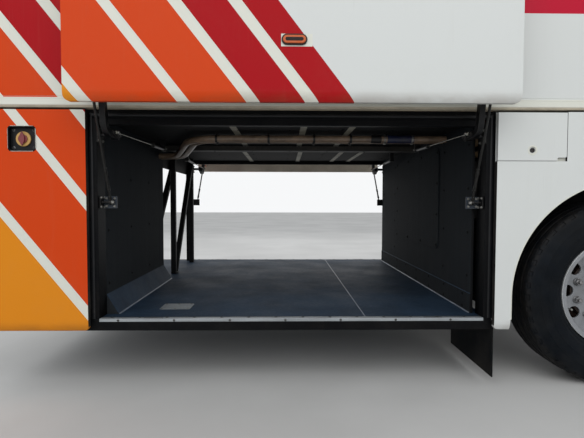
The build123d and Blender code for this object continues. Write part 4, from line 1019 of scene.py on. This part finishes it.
# Gas springs: a ball socket on the crank's pin, a neck and the slim rod; collars and an anchor bolt on the tubes
rodRun = Vector(gear["anchor"]) - Vector(gear["crankTip"])
crankEnd = {side: Vector(gear["crankTip"]) + rodRun.normalized() * gear["slide"][side] for side in sides}
tubeFrom = rodRun.length - gear["tube"]
rodEnd = (tubeFrom + 0.060) * 1000
socketProfile = metres((
    (0, 9.5), (8.5, 9.5), (9, 14), (9, 26), (7.6, 30), (6.2, 31), (6.2, 44), (3.8, 46), (3.8, rodEnd), (0, rodEnd)))
ballProfile = metres(((0, -6.8), (9, -6.8), (11.3, -4.5), (11.9, 0), (11.3, 4.5), (9, 6.8), (0, 6.8)))
for side in sides:
    aim = Vector((0, -signOf[side] * rodRun.x, rodRun.y)).normalized()
    rods, collars = [], []
    for end in ends:
        foot = at(atEnd(gear["rodX"], end), *crankEnd[side], side)
        stem = spun("gasRod", [(radius, 0, run) for radius, run in socketProfile], (0, 0, 0), up, 16)
        stem.data.transform(Matrix.Translation(foot) @ aimed(aim))
        ball = spun("ball", [(aside, 0, radius) for radius, aside in ballProfile], (0, 0, 0), forward, 20)
        ball.data.transform(Matrix.Translation(foot))
        rods += [stem, ball]
        mouth = at(atEnd(gear["rodX"], end), *gear["crankTip"], side) + aim * tubeFrom
        collars += [rod(name, mouth + aim * start, mouth + aim * stop, radius, 24, 0.002)
                    for name, (start, stop, radius) in gear["collars"].items()]
    rods = finish(joined(rods, "gasRods_" + side), "rod_chrome", body="gas_rods_" + side, degrees=40)
    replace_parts(rods, "gas_rods_" + side)
    finish(joined(collars, "gasCollars_" + side), "gas_tube_black", "darkBolt")
    for end in ends:
        anchor = at(atEnd(gear["rodX"], end), *gear["anchor"], side) + Vector(facings[end]) * gear["anchorFace"]
        fasteners("anchorBolt", "bolt", [anchor], facings[end], 0.0095, "bolt", "gas_tube_black")


# Bolts on brackets and pivots, seen from inside the bay
def corners(along, middle, half, side):
    depths, heights = [[place - aside, place + aside] for place, aside in zip(middle, half)]
    return grid([along], depths, heights, side)


for side in sides:
    for end in ends:
        face, facing = atEnd(gear["wallFace"], end), facings[end]
        bolts = corners(face, gear["armPivot"], gear["armBolts"], side)
        bolts += corners(face, gear["linkPivot"], gear["linkBolts"], side)
        fasteners("bracketBolts", "bolt", bolts, facing, 0.0078, "bolt", "bracket_black")
        bolts = grid([atEnd(along, end) for along in gear["flangeX"]], [gear["flangeFace"]], gear["flangeZ"], side)
        fasteners("flangeBolts", "bolt", bolts, outward[side], 0.0070, "bolt", "bracket_black")
        for name, along, pivot, size, look, slot, body in (
                ("linkPinNut", 0.6705, gear["linkPivot"], 0.0125, "bolt", "bracket_black", "root"),
                ("armPinNut", 0.7163, gear["armPivot"], 0.0150, "darkBolt", "bracket_black", "arms_" + side),
                ("crankPinNut", 0.7363, crankEnd[side], 0.0085, "bolt", "rod_chrome", "gas_rods_" + side)):
            fasteners(name, "bolt", [at(atEnd(along, end), *pivot, side)], facing, size, look, slot, body)
paintFaces(dressed["door_brackets"], "bracketPlate", lambda centre, normal: abs(normal.y) > 0.9 and abs(
    abs(centre.y) - (halfWidth - 0.115)) < 0.002)

# Heater pipes: clip screws, worm clamps where the blue sleeve ends and a dark joint before it
pipe = {"depth": 0.565, "height": 1.433, "clips": (1.165, 1.504, 1.800, 2.039), "clipDepth": 0.5935,
        "clipFoot": 1.404, "clamps": (2.262, 2.440), "joint": 2.205}
clampProfile = metres(((26.8, -6), (28.4, -5.5), (28.4, 5.5), (26.8, 6), (26.8, -6)))
jointProfile = metres(((22, -34), (26.2, -32), (27, -26), (27, 26), (26.2, 32), (22, 34), (22, -34)))
fasteners("clipScrews", "bolt", grid(pipe["clips"], [pipe["clipDepth"]], [pipe["clipFoot"]]), down, 0.0085, "darkBolt",
          "clamp_black")


def ringOnPipe(name, along, profile):
    middle = at(along, pipe["depth"], pipe["height"])
    return spun(name, [middle + Vector((aside, 0, radius)) for radius, aside in profile], middle, forward, 36)


bands = []
for along in pipe["clamps"]:
    middle = at(along, pipe["depth"], pipe["height"])
    bands += [ringOnPipe("wormClamp", along, clampProfile),
              slab("wormHousing", middle + Vector((-0.0075, -0.008, -0.0345)),
                   middle + Vector((0.0075, 0.010, -0.0275)), 0.0015)]
finish(joined(bands, "wormClamps"), "clamp_black", "bolt")
finish(ringOnPipe("pipeJoint", pipe["joint"], jointProfile), "clamp_black", "lampRing")

# Battery switch: screws in the tray's corners and a lever pointed at both ends on a round boss
switch = {"middle": (0.247, 1.347), "disc": 0.0135, "tall": 0.037, "wide": 0.0135, "steps": 7, "boss": 0.0235,
          "screws": (0.053, 0.046), "corner": 0.012, "edge": 0.003, "light": 0.0024}
along, height = switch["middle"]
screws = [at(along + aside, 0.0207, height + rise) for aside in (-switch["screws"][0], switch["screws"][0])
          for rise in (-switch["screws"][1], switch["screws"][1])]
fasteners("switchScrews", "screw", screws, outward["near"], 0.0042, "darkBolt", "switch_black")
points = []
for flip in (1, -1):
    for step in range(-switch["steps"], switch["steps"]):
        share = step / switch["steps"]
        points.append(at(along + flip * switch["wide"] * (1 - share ** 2), 0.006,
                         height + flip * switch["tall"] * share))
lever = drawn("lever", points, (0, -0.0086, 0), 0.0016, 2)
boss = rod("leverBoss", at(along, switch["disc"], height), at(along, 0.0055, height), switch["boss"], 36, 0.002)
rivet = rod("leverRivet", at(along, -0.0020, height), at(along, -0.0030, height), 0.0045, 16, 0.0008, 1)
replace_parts(finish(joined([boss, lever, rivet], "switchLever"), "knob_red"), "switch_knob")

# Only the tray's outermost edge is light
low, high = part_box("switch_frame")
trayMiddle, trayHalf = (low + high) / 2, (high - low) / 2


def onTray(centre, normal):
    return normal.y < -0.9 and centre.y < -halfWidth - 0.001


def onTrayRim(centre, normal):
    aside = [max(abs(centre[axis] - trayMiddle[axis]) - trayHalf[axis] + switch["corner"], 0) for axis in (0, 2)]
    return onTray(centre, normal) and math.hypot(*aside) > switch["corner"] - switch["light"]


insetFaces(dressed["switch_frame"], lambda face: onTray(face.calc_center_median(), face.normal), (switch["edge"], 0))
paintFaces(dressed["switch_frame"], "rail_paint", onTrayRim)

# Marker lamps: a black rubber ring, a domed lens and a dark window in its middle
lamp = {"middle": (1.653, 0.619), "half": (0.060, 0.0255), "ring": 0.0066, "window": (0.0420, 0.0082)}


def capsule(height, inside, depth, side, steps=10):
    halfLong, halfHigh = lamp["half"][0] - inside, lamp["half"][1] - inside
    points = []
    for flip in (1, -1):
        for step in range(steps + 1):
            turn = math.pi * (step / steps - 0.5)
            points.append(at(lamp["middle"][0] + flip * (halfLong - halfHigh + halfHigh * math.cos(turn)), depth,
                             height + flip * halfHigh * math.sin(turn), side))
    return points


for side in sides:
    face, height = -doorOut[side], lamp["middle"][1] + doorRise[side]
    out, door = Vector(outward[side]), "door_" + side

    def isFront(part):
        return part.normal.y * out.y > 0.9 and len(part.verts) > 12
    ring = drawn("lampRing", capsule(height, 0, face + 0.001, side), out * 0.0085, 0.0022, 2, 60)
    insetFaces(ring, isFront, (0.0055, -0.003))
    dome = drawn("lampLens", capsule(height, lamp["ring"], face - 0.004, side), out * 0.0078, 0.0036, 4, 60)
    insetFaces(dome, isFront, (0.0085, -0.0004))
    halfLong, halfHigh = lamp["window"]
    window = slab("lampWindow", at(lamp["middle"][0] - halfLong, face - 0.0095, height - halfHigh, side),
                  at(lamp["middle"][0] + halfLong, face - 0.0121, height + halfHigh, side))
    soften(window, 0.0078, 4, 30, lambda edge: abs(edge.verts[0].co.y - edge.verts[1].co.y) > 0.001)
    finish(ring, "lamp_amber", "lampRing", door, 50)
    finish(window, "lamp_amber", "lampDark", door)
    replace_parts(finish(dome, "lamp_amber", body=door, degrees=50), "marker_lamp_" + side)

# Service flap locks: a plug with a key socket in each dish, and a pan behind the finger notch
lock = {"middle": (2.919, 1.297), "plug": 0.0130, "panLow": (3.038, 0.0148, 1.230), "panHigh": (3.106, 0.0168, 1.264)}
dishProfile = metres(((16.5, 3), (18, -0.4), (20.5, -1.4), (24, -1.4), (26.2, -0.4), (26.8, 3), (16.5, 3)))
for side in sides:
    sign, flap = signOf[side], "flap_" + side
    along, height = lock["middle"]
    plug = rod("flapLock", at(along, 0.0045, height, side), at(along, -0.0002, height, side), lock["plug"], 28,
               0.0012, 2)
    insetFaces(plug, lambda face: face.normal.y * sign > 0.9 and len(face.verts) > 12, (0.0045, 0),
               (0.0006, -0.0032))
    finish(plug, "body_paint", "lampRing", flap)
    middle = at(along, 0.0, height, side)
    dish = [middle + Vector((0, -sign * depth, radius)) for radius, depth in dishProfile]
    finish(spun("flapDish", dish, middle, (0, 1, 0), 40), "body_paint", "rail_paint", flap)
    pan = slab("notchPan", at(*lock["panLow"], side), at(*lock["panHigh"], side), 0.0006, 1)
    finish(pan, "body_paint", "rail_paint")
print("door gear, switch, lamps and locks made")

# Wheels: profiles are drawn as (radius, distance outwards from the tyre's middle plane), in millimetres
wheel = {"studs": 10, "studCircle": 0.1675, "disc": 0.0282, "nut": 0.0222, "capCircle": 0.0720, "capFace": 0.0790,
         "capBolt": 0.0072, "steps": 96, "shadeFrom": 0.11, "valve": (0.246, 203),
         # the valve's foot, stem and cap: from, to, radius, corners and rounding
         "stem": ((0.026, 0.040, 0.0075, 14, 0.002), (0.036, 0.082, 0.0042, 12, 0.001),
                  (0.078, 0.092, 0.0056, 12, 0.0012)),
         "notch": {"from": 0.4905, "to": 0.5078, "aside": 0.118, "wall": 0.0022, "deep": -0.0045}}
tyreHalf = metres((
    (287, 103.5), (302, 104), (306, 112), (308.5, 118), (316, 122.5), (320.5, 124), (322, 126.2), (325, 127.5),
    (327.5, 127.2), (329, 129), (340, 135), (341.5, 136.8), (344.5, 138), (346.5, 137.6), (348, 139.2), (370, 144),
    (388, 146.6), (389, 148), (392.5, 148.4), (394, 147.4), (410, 148), (430, 147.4), (435, 146.4), (436.5, 148),
    (441, 147), (442.5, 145.2), (458, 142.4), (460, 141), (462.5, 141.2), (478, 137), (490, 133), (503, 127),
    (508, 118), (511, 106), (511.5, 90), (511.8, 86), (499, 84.5), (498, 76), (512.2, 74.5), (513, 70), (513.6, 36),
    (499, 34.5), (498.5, 25.5), (513.8, 24), (514, 0)))
tyreProfile = tyreHalf + [(radius, -away) for radius, away in reversed(tyreHalf[:-1])] + tyreHalf[:1]
hubProfile = metres((
    (0, 66), (30.3, 66), (30.3, -17), (189, -17), (190, -15), (190, 15), (105, 15.8), (100, 20), (100, 48),
    (98.5, 52), (89, 53), (87.5, 54.5), (86.5, 64), (85, 66.5), (83, 67), (80.5, 76), (79, 78.5), (64, 80),
    (62, 81.5), (60, 86.5), (56, 87.8), (0, 88)))
discProfile = metres((
    (105, -38), (213, -38), (215, -40), (215, -50), (204, -51), (204, -60), (215, -61), (215, -71), (213, -73),
    (105, -73), (105, -38)))

for side, centre in tyreMiddle.items():
    out, body = Vector(outward[side]), "wheel_" + side

    def turned(name, profile, steps):
        points = [centre + Vector((0, signOf[side] * away, radius)) for radius, away in profile]
        return spun(name + side, points, centre, (0, 1, 0), steps)

    def spread(radius, away, turns):
        return [centre + out * away + Vector((radius * math.cos(turn), 0, radius * math.sin(turn))) for turn in turns]

    # Every other face of both shoulders is a notch between tread blocks
    def isNotch(face):
        notch, spot = wheel["notch"], face.calc_center_median() - centre
        step = math.atan2(spot.z, spot.x) / (2 * math.pi) * wheel["steps"]
        return (notch["from"] < math.hypot(spot.x, spot.z) < notch["to"] and abs(spot.y) > notch["aside"]
                and math.floor(step) % 2 == 0)
    tyre = turned("tyre_", tyreProfile, wheel["steps"])
    insetFaces(tyre, isNotch, (wheel["notch"]["wall"], wheel["notch"]["deep"]))
    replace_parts(finish(tyre, "tyre_black", body=body, degrees=40), "tyre_" + side)

    hub = finish(turned("hub_", hubProfile, 72), "hub_iron", body=body, degrees=30)
    # painted shade: the hub's outer part, behind the rim, in the near-black iron finish
    paintFaces(hub, "brakeIronAndShade", lambda spot, normal: math.hypot(
        spot.x - centre.x, spot.z - centre.z) > wheel["shadeFrom"])
    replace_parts(hub, "hub_" + side)
    aims = [math.radians(18 + 360 / wheel["studs"] * place) for place in range(wheel["studs"])]
    fasteners("wheelNuts_" + side, "nut", spread(wheel["studCircle"], wheel["disc"], aims), out, wheel["nut"], "nut",
              "hub_iron", body, 30)
    fasteners("capBolts_" + side, "bolt", spread(wheel["capCircle"], wheel["capFace"], aims), out, wheel["capBolt"],
              "bolt", "hub_iron", body)
    finish(turned("brakeDisc_", discProfile, 72), "hub_iron", "brakeIronAndShade", body, 30)
    base = spread(wheel["valve"][0], 0, [math.radians(wheel["valve"][1])])[0]
    stem = [rod("valve", base + out * start, base + out * stop, radius, count, width, 1)
            for start, stop, radius, count, width in wheel["stem"]]
    finish(joined(stem, "valve_" + side), "rim_silver", "bolt", body)

# Wheel arches: a thin rolled lip round each opening, with straight legs down to the tucked foot
axle = tyreMiddle["near"]
arch = {"foot": onHeight(0.392), "steps": 72}
lipProfile = metres((
    (624, 27), (624, 1), (625.2, -0.8), (627.5, -1.4), (630, -1), (631.8, 0.2), (631.8, 2), (629, 3), (629, 27),
    (624, 27)))
ring = Vector((axle.x, 0, axle.z))
for side in sides:
    lip = drawLine("archLip", [ring + Vector((radius, signOf[side] * (halfWidth - depth), 0))
                               for radius, depth in lipProfile])
    spinRound(lip, ring, (0, 1, 0), arch["steps"], math.pi)
    choose(lip, "EDGE", lambda edge: edge.is_boundary)
    bpy.ops.mesh.extrude_edges_move(TRANSFORM_OT_translate={"value": (0, 0, arch["foot"] - axle.z)})
    for half in (-1, 1):
        choose(lip, "EDGE", lambda edge: edge.is_boundary and half * (edge.verts[0].co.x - axle.x) > 0)
        bpy.ops.mesh.edge_face_add()
    faceOutwards(lip)
    finish(lip, "body_paint", "rail_paint", degrees=45)

# Air springs: a ribbed piston, a rolled rubber lobe and the clamped top plate
low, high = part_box("air_springs")
springTop = (high.z - low.z) * 1000
springProfile = metres((
    (0, 0), (62, 0), (64, 2), (64, 18), (60, 22), (66, 85), (70, 92), (74, 104), (80, 108), (98, 114), (109, 124),
    (114.5, 142), (114.5, 165), (112.5, 182), (107.5, 196), (104.5, 204), (105.5, 214), (110.5, 224), (113, 240),
    (111, 258), (105, 274), (102, 284), (103, 288), (103, springTop), (0, springTop)))
bags = []
for side in sides:
    foot = Vector((axle.x, signOf[side] * 0.430, low.z))
    bags.append(spun("airSpring", [foot + Vector((radius, 0, rise)) for radius, rise in springProfile], foot, up, 48))
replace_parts(finish(joined(bags, "airSprings"), "bellows_rubber", degrees=38), "air_springs")

# Mud flaps: a clamping strip with bolts
low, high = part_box("mud_flaps")
strip = {"thick": 0.0040, "from": 0.045, "to": 0.610, "low": 0.052, "high": 0.012, "boltsFrom": 0.08, "pitch": 0.124,
         "bolts": 5}
for side in sides:
    clamp = slab("flapStrip", (low.x - strip["thick"], signOf[side] * (halfWidth - strip["from"]),
                               high.z - strip["low"]),
                 (low.x, signOf[side] * (halfWidth - strip["to"]), high.z - strip["high"]), 0.001, 1)
    finish(clamp, "mud_rubber", "frame_black")
    middle = high.z - (strip["low"] + strip["high"]) / 2 - roadLevel
    bolts = [at(low.x - strip["thick"], strip["boltsFrom"] + strip["pitch"] * place, middle, side)
             for place in range(strip["bolts"])]
    fasteners("flapBolts", "bolt", bolts, backward, 0.0095, "bolt", "mud_rubber")

for model in models.values():
    bpy.data.objects.remove(model)
print("wheels, arches and suspension made")

# Stage, light and camera
stage = {"size": 60.0, "middle": (2.0, 10.0), "dark": tint(190, 190, 188), "light": tint(202, 202, 200),
         "sky": (0.95, 0.97, 1.0, 1), "skyStrength": 0.70, "back": (0.93, 0.94, 0.95, 1)}


def makeStage():
    clearSelection()
    bpy.ops.mesh.primitive_plane_add(size=stage["size"], location=(*stage["middle"], roadLevel))
    ground = takeActive("paleFloor")
    material, sockets, where = startMaterial("paleFloor", roughness=0.75)
    feed(sockets["Base Color"], mix(ramp(noise(where, 0.8, 5, 0.5), 0.3, 0.7), stage["dark"], stage["light"]))
    ground.data.materials.append(material)

    world = bpy.data.worlds.new("softSky")
    bpy.context.scene.world = world
    world.use_nodes = True
    tree = world.node_tree
    sky, seen = tree.nodes["Background"], addNode(tree, "ShaderNodeBackground")
    for node, colour, strength in ((sky, stage["sky"], stage["skyStrength"]), (seen, stage["back"], 1.0)):
        feed(node.inputs["Color"], colour)
        feed(node.inputs["Strength"], strength)
    path = addNode(tree, "ShaderNodeLightPath").outputs
    shown = mathNode("MAXIMUM", path["Is Camera Ray"], path["Is Glossy Ray"])
    shown = mathNode("MAXIMUM", shown, path["Is Transmission Ray"])
    blend = addNode(tree, "ShaderNodeMixShader")
    for target, value in zip(blend.inputs, (shown, sky.outputs[0], seen.outputs[0])):
        feed(target, value)
    feed(tree.nodes["World Output"].inputs["Surface"], blend.outputs[0])


def addLamp(name, location, target, size, power):
    light = bpy.data.lights.new(name, "AREA")
    light.shape = "RECTANGLE"
    light.size, light.size_y = size
    light.energy = power
    holder = bpy.data.objects.new(name, light)
    holder.location = location
    holder.rotation_euler = (Vector(target) - Vector(location)).to_track_quat("-Z", "Y").to_euler()
    bpy.context.scene.collection.objects.link(holder)


makeStage()
addLamp("skyLamp", (1.5, -7.5, 4.6), (2.0, -1.0, 0.4), (11.0, 6.0), 370)
addLamp("farLamp", (2.0, 7.5, 5.5), (2.0, 1.0, 0.0), (9.0, 4.0), 200)

# The photograph's view: 584 by 438 pixels; straight ahead is at column 284.4 and row 202.3
view = {"place": (1.607, -3.565, 0.0945), "focalPixels": 435.0, "wide": 584, "high": 438, "aheadX": 284.4,
        "aheadY": 202.3, "roll": -0.1, "sensor": 36.0}
lens = bpy.data.cameras.new("photoView")
lens.sensor_width = view["sensor"]
lens.lens = view["sensor"] * view["focalPixels"] / view["wide"]
yaw = math.atan2(view["wide"] / 2 - view["aheadX"], view["focalPixels"])
pitch = math.atan2(view["high"] / 2 - view["aheadY"], view["focalPixels"])
camera = bpy.data.objects.new("photoView", lens)
camera.location = view["place"]
camera.rotation_euler = (math.pi / 2 - pitch, math.radians(view["roll"]), -yaw)
bpy.context.scene.collection.objects.link(camera)
bpy.context.scene.camera = camera
bpy.context.scene.view_settings.view_transform = "Standard"
print("stage, light and camera set")
